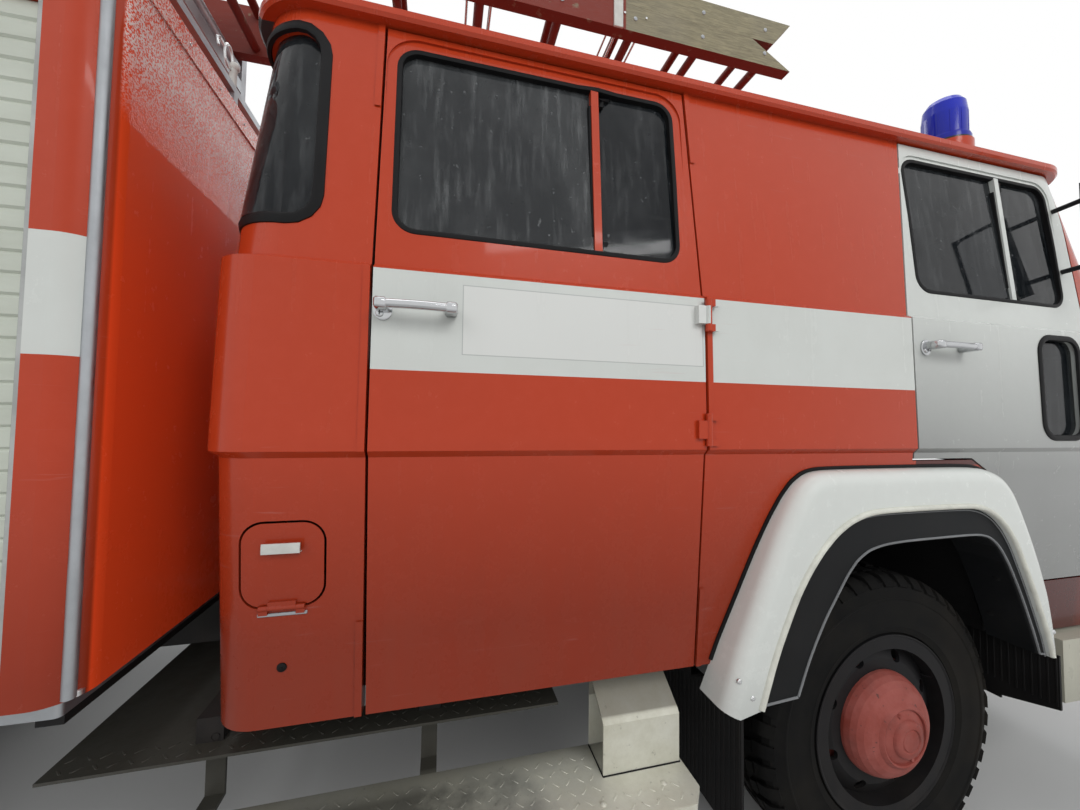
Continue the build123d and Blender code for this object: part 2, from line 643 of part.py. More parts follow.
def holed_rim(y_centre, disc_d, dish, x=0):
    rim = turned(rim_profile(disc_d, dish), y_centre, x)
    for i in range(HAND_HOLE_COUNT):
        a = 2 * math.pi * (i + 0.5) / HAND_HOLE_COUNT
        cx, cz = x + 212 * math.cos(a), TYRE_RADIUS + 212 * math.sin(a)
        rim -= rod(19, (cx, -(y_centre + disc_d - 120), cz), (cx, -(y_centre + disc_d + 60), cz))
    return rim


SPINDLE_RADIUS = 40
SPINDLE_FIT = 0.05
FRONT_DISC_D = 78
KNUCKLE_PLATE_Y = KINGPIN_Y + 58
KNUCKLE_PLATE = 22
DRUM_RADIUS = 205
FRONT_SPINDLE_END = FRONT_TYRE_Y + 110
front_nave = FRONT_TYRE_Y + FRONT_DISC_D
front_hub_profile = (
    (SPINDLE_RADIUS + SPINDLE_FIT, KNUCKLE_PLATE_Y + KNUCKLE_PLATE + 6), (DRUM_RADIUS, KNUCKLE_PLATE_Y + KNUCKLE_PLATE + 6),
    (DRUM_RADIUS, front_nave - 45), (HUB_RADIUS, front_nave - DISC_PLATE - 0.3), (HUB_NECK, front_nave - DISC_PLATE - 0.3),
    (HUB_NECK, front_nave + 0.3), (HUB_RADIUS, front_nave + 0.3), (HUB_RADIUS, front_nave + 10),
    (HUB_RADIUS - 5, front_nave + 26), (HUB_RADIUS - 14, front_nave + 41), (HUB_RADIUS - 28, front_nave + 54),
    (HUB_RADIUS - 47, front_nave + 64), (92, front_nave + 72), (88, front_nave + 67), (82, front_nave + 72),
    (55, front_nave + 84), (0, front_nave + 86), (0, FRONT_SPINDLE_END + 6),
    (SPINDLE_RADIUS + SPINDLE_FIT, FRONT_SPINDLE_END + 6),
)
REAR_X = -WHEELBASE
REAR_INNER_TYRE_Y = REAR_OUTER_TYRE_Y - TWIN_SPACING
twin_middle = (REAR_OUTER_TYRE_Y + REAR_INNER_TYRE_Y) / 2
REAR_SPINDLE_END = REAR_OUTER_TYRE_Y + 20
REAR_DRUM_Y = 575
rear_hub_profile = (
    (SPINDLE_RADIUS + 8 + SPINDLE_FIT, REAR_DRUM_Y), (DRUM_RADIUS, REAR_DRUM_Y), (DRUM_RADIUS, REAR_DRUM_Y + 150),
    (HUB_NECK, REAR_DRUM_Y + 165), (HUB_NECK, twin_middle - 46), (HUB_RADIUS, twin_middle - 42),
    (HUB_RADIUS, twin_middle - DISC_PLATE - 0.6), (HUB_NECK, twin_middle - DISC_PLATE - 0.6),
    (HUB_NECK, twin_middle + DISC_PLATE + 0.6), (HUB_RADIUS, twin_middle + DISC_PLATE + 0.6),
    (HUB_RADIUS, twin_middle + 90), (120, twin_middle + 104), (110, REAR_SPINDLE_END + 22), (0, REAR_SPINDLE_END + 30),
    (0, REAR_SPINDLE_END + 6), (SPINDLE_RADIUS + 8 + SPINDLE_FIT, REAR_SPINDLE_END + 6),
)
rear_outer_rim = holed_rim(REAR_OUTER_TYRE_Y, twin_middle + DISC_PLATE + 0.3 - REAR_OUTER_TYRE_Y, -40, REAR_X)
inner_profile = [(r, -d) for r, d in rim_profile(REAR_INNER_TYRE_Y - (twin_middle - DISC_PLATE - 0.3), -40)]
rear_inner_rim = turned(inner_profile, REAR_INNER_TYRE_Y, REAR_X)
wheel_parts = {
    "tyre_front": [turned(tyre_profile, FRONT_TYRE_Y)],
    "rim_front": [holed_rim(FRONT_TYRE_Y, FRONT_DISC_D, 34)],
    "hub_front": [turned(front_hub_profile, 0)],
    "tyres_rear": [turned(tyre_profile, y, REAR_X) for y in (REAR_OUTER_TYRE_Y, REAR_INNER_TYRE_Y)],
    "rims_rear": [rear_outer_rim, rear_inner_rim],
    "hub_rear": [turned(rear_hub_profile, 0, REAR_X)],
}
for name, pieces in wheel_parts.items():
    nodes[name + "_right"] = pieces
    nodes[name + "_left"] = [mirrored(p) for p in pieces]

# Axles, kingpins and steering knuckles
AXLE_TUBE = 62
BOSS_RADIUS = 50
BOSS_HALF = 78
KINGPIN_RADIUS = 22
KINGPIN_FIT = 0.05
LUG_GAP = 0.3
LUG = 42
axle_z = TYRE_RADIUS


front_axle = rod(AXLE_TUBE, (0, -KINGPIN_Y, axle_z), (0, KINGPIN_Y, axle_z)) + Pos(0, 130, axle_z) * Sphere(165)
for s in (-1, 1):
    front_axle -= box(-90, 90, s * (KINGPIN_Y - 10), s * (KINGPIN_Y + 60), axle_z - 90, axle_z + 90)
    front_axle += upright(BOSS_RADIUS, 0, s * KINGPIN_Y, axle_z - BOSS_HALF, axle_z + BOSS_HALF)
    front_axle -= upright(KINGPIN_RADIUS + KINGPIN_FIT, 0, s * KINGPIN_Y, axle_z - 200, axle_z + 200)
nodes["front_axle"] = front_axle
rear_axle = rod(75, (REAR_X, -REAR_DRUM_Y + 12, axle_z), (REAR_X, REAR_DRUM_Y - 12, axle_z))
rear_axle += Pos(REAR_X, 0, axle_z) * Sphere(195)
rear_axle += rod(SPINDLE_RADIUS + 8, (REAR_X, -REAR_SPINDLE_END, axle_z), (REAR_X, REAR_SPINDLE_END, axle_z))
nodes["rear_axle"] = rear_axle
STEER_ARM_X = -205
STEER_ARM_Y = KINGPIN_Y - 62
plate_y = (KNUCKLE_PLATE_Y, KNUCKLE_PLATE_Y + KNUCKLE_PLATE)
knuckle = box(-52, 52, -plate_y[0], -plate_y[1], axle_z - BOSS_HALF - LUG, axle_z + BOSS_HALF + LUG)
for z0, z1 in (
    (axle_z + BOSS_HALF + LUG_GAP, axle_z + BOSS_HALF + LUG), (axle_z - BOSS_HALF - LUG, axle_z - BOSS_HALF - LUG_GAP)
):
    knuckle += box(-BOSS_RADIUS, BOSS_RADIUS, -KINGPIN_Y, -plate_y[0] - 5, z0, z1)
    knuckle += upright(BOSS_RADIUS, 0, -KINGPIN_Y, z0, z1)
knuckle += upright(KINGPIN_RADIUS, 0, -KINGPIN_Y, axle_z - BOSS_HALF - LUG, axle_z + BOSS_HALF + LUG)
knuckle += rod(SPINDLE_RADIUS, (0, -plate_y[0] - 1, axle_z), (0, -FRONT_SPINDLE_END, axle_z))
knuckle += rod(17, (-30, -KINGPIN_Y, axle_z - BOSS_HALF - LUG / 2), (STEER_ARM_X, -STEER_ARM_Y, axle_z - BOSS_HALF - LUG / 2))
nodes["knuckle_right"] = knuckle
nodes["knuckle_left"] = mirrored(knuckle)

# Frame: two channel rails, cross members, bearers under the body, and tow jaws
def channel(side_sign):
    outer = side_sign * RAIL_Y
    inner = side_sign * (RAIL_Y - RAIL_FLANGE)
    web = side_sign * (RAIL_Y - RAIL_WALL)
    rail = box(FRAME_REAR, FRAME_FRONT, inner, outer, RAIL_TOP - RAIL_HEIGHT, RAIL_TOP)
    return rail - box(
        FRAME_REAR - 1, FRAME_FRONT + 1, inner - side_sign, web, RAIL_TOP - RAIL_HEIGHT + RAIL_WALL, RAIL_TOP - RAIL_WALL
    )


# place, underside and top of each cross member
CROSS_MEMBERS = (
    (FRAME_FRONT - 60, 630, 773), (-1120, 745, 790), (-1980, 650, 773), (-2720, 630, 773), (-3160, 700, 790),
    (-4350, 630, 773), (FRAME_REAR + 40, 630, 773),
)
STEP_ARMS = (-860, -1450, -1980)
JAW_PIN_RADIUS = 16
BODY_BEARERS = (-2230, -2850, -4550, -5100)
BEARER = 70
frame = channel(1) + channel(-1)
for x, z0, z1 in CROSS_MEMBERS:
    frame += box(x - 35, x + 35, -RAIL_Y + 4, RAIL_Y - 4, z0, z1)
for x in BODY_BEARERS:
    frame += box(x - 25, x + 25, -1080, 1080, RAIL_TOP - 0.01, RAIL_TOP + BEARER)
for x in STEP_ARMS:
    for s in (-1, 1):
        frame += box(x - 30, x + 30, s * (RAIL_Y - 5), s * 980, RAIL_TOP - 150, RAIL_TOP - 90)
REAR_BEAM_X = -5250
for s in (-1, 1):
    frame += box(REAR_BEAM_X + 5, FRAME_REAR + 60, s * 330, s * 380, 560, RAIL_TOP - RAIL_HEIGHT + 4)
frame += box(REAR_BEAM_X, REAR_BEAM_X + 60, -1120, 1120, 560, 680)
jaw = box(FRAME_REAR + 10, TAIL_X, -60, 60, RAIL_TOP - 120, RAIL_TOP - 30)
jaw -= box(TAIL_X + 90, TAIL_X - 10, -61, 61, RAIL_TOP - 96, RAIL_TOP - 54)
frame += jaw
frame -= upright(JAW_PIN_RADIUS, TAIL_X + 40, 0, RAIL_TOP - 200, RAIL_TOP)
# The pin has room in the beam under the jaw
frame -= upright(2 * JAW_PIN_RADIUS, TAIL_X + 40, 0, RAIL_TOP - 300, RAIL_TOP - 120)
nodes["chassis_frame"] = frame

# Leaf springs and their hangers
SPRING_Y = RAIL_Y + 52
SPRING_HALF_WIDTH = 35
springs = []
for cx, leaves, half in ((0, 7, 640), (REAR_X, 9, 700)):
    base = axle_z + (AXLE_TUBE if cx == 0 else 75) + 0.3
    for s in (-1, 1):
        stack = None
        for i in range(leaves):
            length = half * (1 - 0.1 * (leaves - 1 - i))
            leaf = box(cx - length, cx + length, s * (SPRING_Y - SPRING_HALF_WIDTH), s * (SPRING_Y + SPRING_HALF_WIDTH), base + 9 * i, base + 9 * i + 9)
            stack = leaf if stack is None else stack + leaf
        top = base + 9 * leaves
        for e in (-1, 1):
            ex = cx + e * (half - 30)
            stack += box(ex - 28, ex + 28, s * (RAIL_Y + 0.3), s * (SPRING_Y + SPRING_HALF_WIDTH), top - 4, RAIL_TOP - 30)
        springs.append(stack)
nodes["leaf_springs"] = springs

# Engine block, gearbox and driveline
ENGINE = (-330, 960, -300, 300, 690, 1340)
engine = box(*ENGINE)
for s in (-1, 1):
    engine += box(200, 300, s * (ENGINE[3] - 1), s * (RAIL_Y - 20), RAIL_TOP + 0.3, RAIL_TOP + 50)
nodes["engine_block"] = engine
TRANSFER = (-1900, -1540, -190, 230, 500, 760)
driveline = box(-670, ENGINE[0] - 0.3, -170, 170, 650, 980) + box(-900, -660, -140, 140, 640, 780) + box(*TRANSFER)
driveline += box(-1760, -1690, -RAIL_Y + RAIL_WALL + 0.3, RAIL_Y - RAIL_WALL - 0.3, 690, 740)
driveline += rod(38, (-895, 0, 690), (TRANSFER[1] - 5, 0, 640))
driveline += rod(38, (TRANSFER[0] + 5, 0, 600), (REAR_X + 196, 0, 512))
driveline += rod(34, (TRANSFER[1] - 5, 150, 560), (120, 138, 500))
nodes["driveline"] = driveline - (Pos(0, 130, axle_z) * Sphere(165.6)) - (Pos(REAR_X, 0, axle_z) * Sphere(195.6))

# Fenders, their rubber flares, inner liners and mud flaps
FENDER_Y = CAB_HALF + 42

def wide_outline(outer, inner, y0, y1):
    return side_prism(tuple(outer) + tuple(reversed(inner)), y0, y1)


def softened(outer, inner, y_in, y_face, outer_radius, inner_radius):
    """A pressing between two open lines, from y_in out to y_face, with its outer and inner edges rounded off."""
    largest = max(outer_radius, inner_radius)
    sections = [(y_in, 0, 0)]
    for angle in (0, 22.5, 45, 67.5, 90):
        rise, run = math.sin(math.radians(angle)), 1 - math.cos(math.radians(angle))
        sections.append((y_face + largest * (1 - rise), outer_radius * run, inner_radius * run))
    wires = []
    for y, outer_in, inner_in in sections:
        line = grown(outer, -outer_in) + list(reversed(grown(inner, inner_in)))
        wires.append(Wire.make_polygon([Vector(x, y, z) for x, z in line], close=True))
    return Solid.make_loft(wires, ruled=True)


SEAL = 0.3
FENDER_ROUNDING = 44
FLARE_ROUNDING = 7
skin_outside = cab_block(-SEAL, SILL_Z - 200)
fender = softened(FENDER_OUTER, FENDER_INNER, -CAB_HALF + 130, -FENDER_Y, FENDER_ROUNDING, 0) - skin_outside
nodes["fenders"] = both_sides(fender)
flare = softened(FENDER_INNER, RUBBER_INNER, -CAB_HALF + 100, -FENDER_Y + 10, 0, FLARE_ROUNDING)
LINER_IN_Y = 640
liner = wide_outline(grown(FENDER_INNER, LINER), FENDER_INNER, -CAB_HALF + 130.3, -LINER_IN_Y) & cab_block(WALL + 2, 600)
nodes["fender_flares"] = both_sides(flare)
FLAP = 8
FLAP_TOP = 684
back_flap_x = WHEEL_HOUSE_BACK + PLATE + SEAT_GAP
front_flap_x = WHEEL_HOUSE_FRONT - PLATE - SEAT_GAP
# The rear flap hangs level with the fender's end, from a flange on the wheel house
mudflaps = [
    box(back_flap_x, back_flap_x + FLAP, -1055, -700, FLAP_TOP - FLAP, 830)
    + box(back_flap_x, -632, -1055, -700, FLAP_TOP - FLAP, FLAP_TOP)
    + box(-640, -632, -1230, -700, 330, FLAP_TOP),
    box(front_flap_x - FLAP, front_flap_x, -1085, -700, 450, 930)
    + cross_prism(((-1238, 505), (-1238, FLAP_TOP), (-700, FLAP_TOP), (-700, 450), (-1050, 450)), front_flap_x - FLAP, front_flap_x),
]
nodes["arch_liners"] = both_sides(liner) + mudflaps + [mirrored(m) for m in mudflaps]

# Footboards under the crew doors, on arms from the frame, with a folded step
FOOTBOARD_Z = 500
FOOTBOARD = (-2140, -752, 1012, 1252)
STEP_SHEET = 5
STEP = (-990, -760)
footboard = plan_prism(
    (
        (FOOTBOARD[0], -FOOTBOARD[3]), (FOOTBOARD[1] - 36, -FOOTBOARD[3]), (FOOTBOARD[1], -FOOTBOARD[3] + 44),
        (FOOTBOARD[1], -FOOTBOARD[2]), (FOOTBOARD[0], -FOOTBOARD[2]),
    ),
    FOOTBOARD_Z - 18,
    FOOTBOARD_Z,
)
# The step's cover: an upright front and a top that slopes up under the cab
STEP_OUT = 1127
STEP_Z = 643
STEP_SLOPE = (1020, 714)
footboard += cross_prism(
    (
        (-STEP_OUT, FOOTBOARD_Z - 1), (-STEP_OUT, STEP_Z - 10), (-STEP_OUT + 8, STEP_Z), (-STEP_SLOPE[0], STEP_SLOPE[1]),
        (-FOOTBOARD[2], STEP_SLOPE[1]), (-FOOTBOARD[2], FOOTBOARD_Z - 1),
    ),
    *STEP,
) - cross_prism(
    (
        (-STEP_OUT + STEP_SHEET, FOOTBOARD_Z), (-STEP_OUT + STEP_SHEET, STEP_Z - 12), (-STEP_OUT + 12, STEP_Z - 5),
        (-STEP_SLOPE[0] - 1, STEP_SLOPE[1] - 6), (-FOOTBOARD[2] - STEP_SHEET, STEP_SLOPE[1] - 6),
        (-FOOTBOARD[2] - STEP_SHEET, FOOTBOARD_Z),
    ),
    STEP[0] - 1,
    STEP[1] + 1,
)
# Brackets down from the frame's arms, and the deck that lies under them and fills the gap behind the cab
DECK_TOP = RAIL_TOP - 150.3
for x in STEP_ARMS:
    footboard += box(x - 22, x + 22, -FOOTBOARD[2] - 1, -935, FOOTBOARD_Z - 18, FOOTBOARD_Z - 8)
    footboard += box(x - 22, x + 22, -945, -935, FOOTBOARD_Z - 9, DECK_TOP)
DECK = (-2290, -1090, 1030, 925)
footboard += box(DECK[0], DECK[1], -DECK[2], -DECK[3], DECK_TOP - 7, DECK_TOP)
footboard += box(DECK[0], -1952, -DECK[3] - 1, -450, DECK_TOP - 7, DECK_TOP)
nodes["footboards"] = both_sides(footboard)

# Bumper with its step ends, lamps and grille
BUMPER = (470, 690)
BUMPER_HALF = 1190
bumper = plan_prism(
    (
        (760, -BUMPER_HALF + 10), (1180, -BUMPER_HALF), (1290, -BUMPER_HALF + 60), (BUMPER_FACE_X, -BUMPER_HALF + 200),
        (BUMPER_FACE_X, BUMPER_HALF - 200), (1290, BUMPER_HALF - 60), (1180, BUMPER_HALF), (760, BUMPER_HALF - 10),
        (760, BUMPER_HALF - 250), (FRAME_FRONT + 0.3, BUMPER_HALF - 250), (FRAME_FRONT + 0.3, -BUMPER_HALF + 250),
        (760, -BUMPER_HALF + 250),
    ),
    BUMPER[0],
    BUMPER[1],
)
bumper -= box(772, 1250, -BUMPER_HALF + 30, -BUMPER_HALF + 300, BUMPER[0] - 1, BUMPER[1] - 14)
bumper -= box(772, 1250, BUMPER_HALF - 30, BUMPER_HALF - 300, BUMPER[0] - 1, BUMPER[1] - 14)
LAMP_Y = 830
LAMP_Z = 585
LAMP_RADIUS = 95
for s in (-1, 1):
    bumper -= rod(LAMP_RADIUS + 2, (BUMPER_FACE_X - 60, s * LAMP_Y, LAMP_Z), (BUMPER_FACE_X + 10, s * LAMP_Y, LAMP_Z))
nodes["bumper"] = bumper
nodes["headlamps"] = [
    rod(LAMP_RADIUS, (BUMPER_FACE_X - 59.7, s * LAMP_Y, LAMP_Z), (BUMPER_FACE_X - 4, s * LAMP_Y, LAMP_Z)) for s in (-1, 1)
]
GRILLE = (-620, 620, 880, 1300)
grille = box(CAB_FACE_X - 42, CAB_FACE_X - 18, GRILLE[0], GRILLE[1], GRILLE[2], GRILLE[3])
GRILLE_BARS = 9
pitch = (GRILLE[3] - GRILLE[2] - 20) / GRILLE_BARS
grille -= box(CAB_FACE_X - 43, CAB_FACE_X - 10, GRILLE[0] + 20, GRILLE[1] - 20, GRILLE[2] + 20, GRILLE[3] - 20)
for i in range(GRILLE_BARS - 1):
    z = GRILLE[2] + 20 + pitch * (i + 0.5)
    grille += box(CAB_FACE_X - 38, CAB_FACE_X - 22, GRILLE[0] + 10, GRILLE[1] - 10, z, z + pitch * 0.55)
grille_hole = box(CAB_FACE_X - 100, CAB_FACE_X + 50, GRILLE[0] - 0.3, GRILLE[1] + 0.3, GRILLE[2] - 0.3, GRILLE[3] + 0.3)
nodes["cab_front"] -= grille_hole
nodes["grille"] = grille

# Seats, dashboard and steering wheel
SEAT_Y = 690
SEAT_FOOT_Z = WHEEL_HOUSE_Z + 0.3
seats = []
for s in (-1, 1):
    seat = box(-210, 250, s * SEAT_Y - 240, s * SEAT_Y + 240, SEAT_FOOT_Z + 60, SEAT_FOOT_Z + 190)
    seat += box(-150, 190, s * SEAT_Y - 190, s * SEAT_Y + 190, SEAT_FOOT_Z, SEAT_FOOT_Z + 61)
    seat += side_prism(
        ((-210, SEAT_FOOT_Z + 150), (-110, SEAT_FOOT_Z + 150), (-190, 1960), (-280, 1960)), s * SEAT_Y - 230, s * SEAT_Y + 230
    )
    seats.append(seat)
BENCH_HALF = 1040
bench = box(-1860, -1400, -BENCH_HALF, BENCH_HALF, 1180, 1300) + box(-1850, -1810, -BENCH_HALF, BENCH_HALF, CREW_FLOOR_Z + 0.3, 1181)
bench += box(-1470, -1430, -BENCH_HALF + 60, BENCH_HALF - 60, CREW_FLOOR_Z + 0.3, 1181)
bench += side_prism(((-1860, 1250), (-1770, 1250), (-1780, 1880), (-1855, 1880)), -BENCH_HALF, BENCH_HALF)
seats.append(bench)
nodes["seats"] = seats
dash = side_prism(((1090, 1430), (960, 1490), (920, 1640), (960, 1730), (1150, 1765), (1160, 1500)), -1200, 1200) & cab_cavity
for s in (-1, 1):
    dash -= box(900, FRONT_DOOR_FRONT_X + 15, s * 1040, s * 1300, 1400, 1800)
WHEEL_CENTRE = Vector(700, SEAT_Y, 1745)
COLUMN_DIR = Vector(0.5, 0, -0.866)
COLUMN_TOP = WHEEL_CENTRE + COLUMN_DIR * 22.3
COLUMN_RADIUS = 26
column_length = (COLUMN_TOP.Z - FRONT_FLOOR_Z - SEAT_GAP + COLUMN_RADIUS * COLUMN_DIR.X * -1) / -COLUMN_DIR.Z
foot = COLUMN_TOP + COLUMN_DIR * column_length
column = rod(COLUMN_RADIUS, COLUMN_TOP, foot)
column -= rod(9.05, COLUMN_TOP - COLUMN_DIR * 1, COLUMN_TOP + COLUMN_DIR * 80)
nodes["dashboard"] = [dash, column]
rim_plane = Plane(origin=WHEEL_CENTRE, x_dir=(0, 1, 0), z_dir=-COLUMN_DIR)
steering_wheel = rim_plane * Torus(215, 15)
for i in range(3):
    a = math.radians(90 + 120 * i)
    end = WHEEL_CENTRE + rim_plane.x_dir * (208 * math.cos(a)) + rim_plane.y_dir * (208 * math.sin(a))
    steering_wheel += rod(10, WHEEL_CENTRE, end)
steering_wheel += rod(42, WHEEL_CENTRE - COLUMN_DIR * 25, WHEEL_CENTRE + COLUMN_DIR * 22)
steering_wheel += rod(9, WHEEL_CENTRE, COLUMN_TOP + COLUMN_DIR * 75)
nodes["steering_wheel"] = steering_wheel

# Mirrors on arms from the front doors
MIRROR = (850, 885, 1222, 1400, 2010, 2370)
mirror_back = box(MIRROR[0] + 6, MIRROR[1], -MIRROR[2], -MIRROR[3], MIRROR[4], MIRROR[5])
for z in (MIRROR[4] + 50, MIRROR[5] - 60):
    mirror_back += rod(9, (900, -1120, z), (868, -MIRROR[2] - 40, z))
mirror_back -= cab_block(-0.3, SILL_Z, GUTTER_Z + 60)
nodes["mirrors_right"] = mirror_back
nodes["mirrors_left"] = mirrored(mirror_back)

# Blue beacons on raised sockets
BEACON_X = 633
BEACON_Y = 950
BEACON_ROOF_Z = GUTTER_Z + ROOF_CROWN - 12
BEACON_SOCKET = (88, 2640)
BEACON_BASE = (82, 2664)
BEACON_DOME = (74, 2846)
beacons = []
for s in (-1, 1):
    beacon = upright(BEACON_SOCKET[0], BEACON_X, s * BEACON_Y, GUTTER_Z + 15, BEACON_SOCKET[1]) - nodes["cab_roof"]
    beacon = max(beacon.solids(), key=lambda q: q.volume)
    beacon += upright(BEACON_BASE[0], BEACON_X, s * BEACON_Y, BEACON_SOCKET[1] - 1, BEACON_BASE[1])
    profile = ((0, 0), (1, 0), (1, 0.6), (0.93, 0.84), (0.76, 0.95), (0.45, 1), (0, 1))
    height = BEACON_DOME[1] - BEACON_BASE[1]
    points = [Vector(BEACON_X + r * BEACON_DOME[0], s * BEACON_Y, BEACON_BASE[1] - 1 + h * (height + 1)) for r, h in profile]
    beacon += Solid.revolve(Face(Wire.make_polygon(points, close=True)), 360, Axis((BEACON_X, s * BEACON_Y, 0), (0, 0, 1)))
    beacons.append(beacon)
nodes["beacons"] = beacons

# Box body: a shell with shutter openings and wheel cut-outs, split into walls, columns, floor and roof
ROOF_PLATE = 30
ARCH_HALF = 620
ARCH_TOP = 1120
LOCKERS = (
    # front edge, rear edge and sill of each shutter opening
    (BODY_FRONT_X - COLUMN_WIDTH, -3020, BODY_SILL_Z + 60),
    (-3100, -4300, ARCH_TOP + 60),
    (-4380, BODY_REAR_X + COLUMN_WIDTH, BODY_SILL_Z + 60),
)
LOCKER_TOP = BODY_TOP_Z - 130
plan = Plane(origin=((BODY_FRONT_X + BODY_REAR_X) / 2, 0, BODY_SILL_Z), z_dir=(0, 0, 1))
body_length = BODY_FRONT_X - BODY_REAR_X
body_block = extrude(plan * RectangleRounded(body_length, 2 * BODY_HALF, BODY_CORNER), BODY_TOP_Z - BODY_SILL_Z)
body_hollow = extrude(
    plan * RectangleRounded(body_length - 2 * BODY_WALL, 2 * BODY_HALF - 2 * BODY_WALL, 8), BODY_TOP_Z - BODY_SILL_Z + 50
)
body_shell = body_block - body_hollow
for x0, x1, sill in LOCKERS:
    body_shell -= box(x1, x0, -1300, 1300, sill, LOCKER_TOP)
body_shell -= side_prism(
    (
        (REAR_X - ARCH_HALF, BODY_SILL_Z - 1), (REAR_X - ARCH_HALF + 110, ARCH_TOP - 60), (REAR_X - ARCH_HALF + 200, ARCH_TOP),
        (REAR_X + ARCH_HALF - 200, ARCH_TOP), (REAR_X + ARCH_HALF - 110, ARCH_TOP - 60), (REAR_X + ARCH_HALF, BODY_SILL_Z - 1),
    ),
    -1300,
    1300,
)
REAR_OPENING = (-700, 700, BODY_SILL_Z + 90, LOCKER_TOP)
body_shell -= box(BODY_REAR_X - 10, BODY_REAR_X + 100, *REAR_OPENING)
front_part = box(BODY_FRONT_X - COLUMN_WIDTH, BODY_FRONT_X + 10, -1300, 1300, BODY_SILL_Z - 10, BODY_TOP_Z + 10)
rear_part = box(BODY_REAR_X - 10, BODY_REAR_X + COLUMN_WIDTH, -1300, 1300, BODY_SILL_Z - 10, BODY_TOP_Z + 10)
nodes["body_end_walls"] = [body_shell & front_part, body_shell & rear_part]
sides_part = body_shell - front_part - rear_part
nodes["body_sides"] = [q for q in sides_part.solids()]

floor_plan = Plane(origin=((BODY_FRONT_X + BODY_REAR_X) / 2, 0, RAIL_TOP + BEARER), z_dir=(0, 0, 1))
body_floor = extrude(floor_plan * RectangleRounded(body_length - 2 * BODY_WALL, 2 * BODY_HALF - 2 * BODY_WALL, 12), 64)
ARCH_CLEAR = 600
for s in (-1, 1):
    body_floor -= box(REAR_X - ARCH_CLEAR, REAR_X + ARCH_CLEAR, s * 620, s * 1300, BODY_SILL_Z - 60, BODY_SILL_Z + 60)
    for x0, x1 in ((REAR_X - ARCH_CLEAR - 20, REAR_X - ARCH_CLEAR), (REAR_X + ARCH_CLEAR, REAR_X + ARCH_CLEAR + 20)):
        body_floor += box(x0, x1, s * 620, s * (BODY_HALF - BODY_WALL - 70), BODY_SILL_Z - 15, ARCH_TOP + 20)
    body_floor += box(REAR_X - ARCH_CLEAR - 20, REAR_X + ARCH_CLEAR + 20, s * 600, s * (BODY_HALF - BODY_WALL - 70), ARCH_TOP, ARCH_TOP + 20)
    body_floor += box(REAR_X - ARCH_CLEAR - 20, REAR_X + ARCH_CLEAR + 20, s * 600, s * 620, BODY_SILL_Z - 44, ARCH_TOP + 20)
for x in (LOCKERS[1][0] + 40, LOCKERS[1][1] - 40):
    body_floor += box(x - 10, x + 10, -BODY_HALF + 130, BODY_HALF - 130, BODY_SILL_Z - 15, BODY_TOP_Z - 80)
body_floor += box(BODY_REAR_X + BODY_WALL + 20, BODY_FRONT_X - BODY_WALL - 20, -15, 15, BODY_SILL_Z - 15, BODY_TOP_Z - 80)
nodes["body_floor"] = body_floor

RIM_HEIGHT = 28
roof_plan = Plane(origin=((BODY_FRONT_X + BODY_REAR_X) / 2, 0, BODY_TOP_Z), z_dir=(0, 0, 1))
body_roof = extrude(roof_plan * RectangleRounded(body_length + 8, 2 * BODY_HALF + 8, BODY_CORNER + 4), ROOF_PLATE + RIM_HEIGHT)
body_roof -= box(BODY_REAR_X + 50, BODY_FRONT_X - 50, -BODY_HALF + 50, BODY_HALF - 50, BODY_TOP_Z + ROOF_PLATE, BODY_TOP_Z + 100)
nodes["body_roof"] = body_roof

# Roller shutters: curtains of slats in their guides
SLAT = 42
SHUTTER_IN = 16
SHUTTER_THICK = 14


def curtain(x0, x1, z0, z1, y):
    """A slatted curtain between x0 and x1 with its outer face at y, towards the outside of positive y."""
    count = max(1, round((z1 - z0) / SLAT))
    step = (z1 - z0) / count
    line = []
    for i in range(count):
        z = z0 + step * i
        line += [(y - 4, z), (y, z + 5), (y, z + step - 5)]
    line += [(y - 4, z1), (y - SHUTTER_THICK, z1), (y - SHUTTER_THICK, z0)]
    return cross_prism(line, x0, x1)


shutters = []
for x0, x1, sill in LOCKERS:
    left = curtain(x1 + 0.3, x0 - 0.3, sill + 0.3, LOCKER_TOP - 0.3, BODY_HALF - SHUTTER_IN)
    shutters += both_sides(left)
rear_curtain = curtain(REAR_OPENING[0] + 0.3, REAR_OPENING[1] - 0.3, REAR_OPENING[2] + 0.3, REAR_OPENING[3] - 0.3, -BODY_REAR_X - SHUTTER_IN)
shutters.append(rear_curtain.rotate(Axis.Z, 90))
nodes["roller_shutters"] = shutters
STRIP_RADIUS = 11
strips = []
for s in (-1, 1):
    lean = math.radians(48)
    x = BODY_FRONT_X - BODY_CORNER + (BODY_CORNER - 1) * math.sin(lean)
    y = BODY_HALF - BODY_CORNER + (BODY_CORNER - 1) * math.cos(lean)
    strip = upright(STRIP_RADIUS, x, s * y, BODY_SILL_Z + 4, BODY_TOP_Z - 8)
    block = extrude(plan * RectangleRounded(body_length + 2 * SEAT_GAP, 2 * (BODY_HALF + SEAT_GAP), BODY_CORNER + SEAT_GAP), 1600)
    strips.append(strip - block)
nodes["corner_strips"] = strips

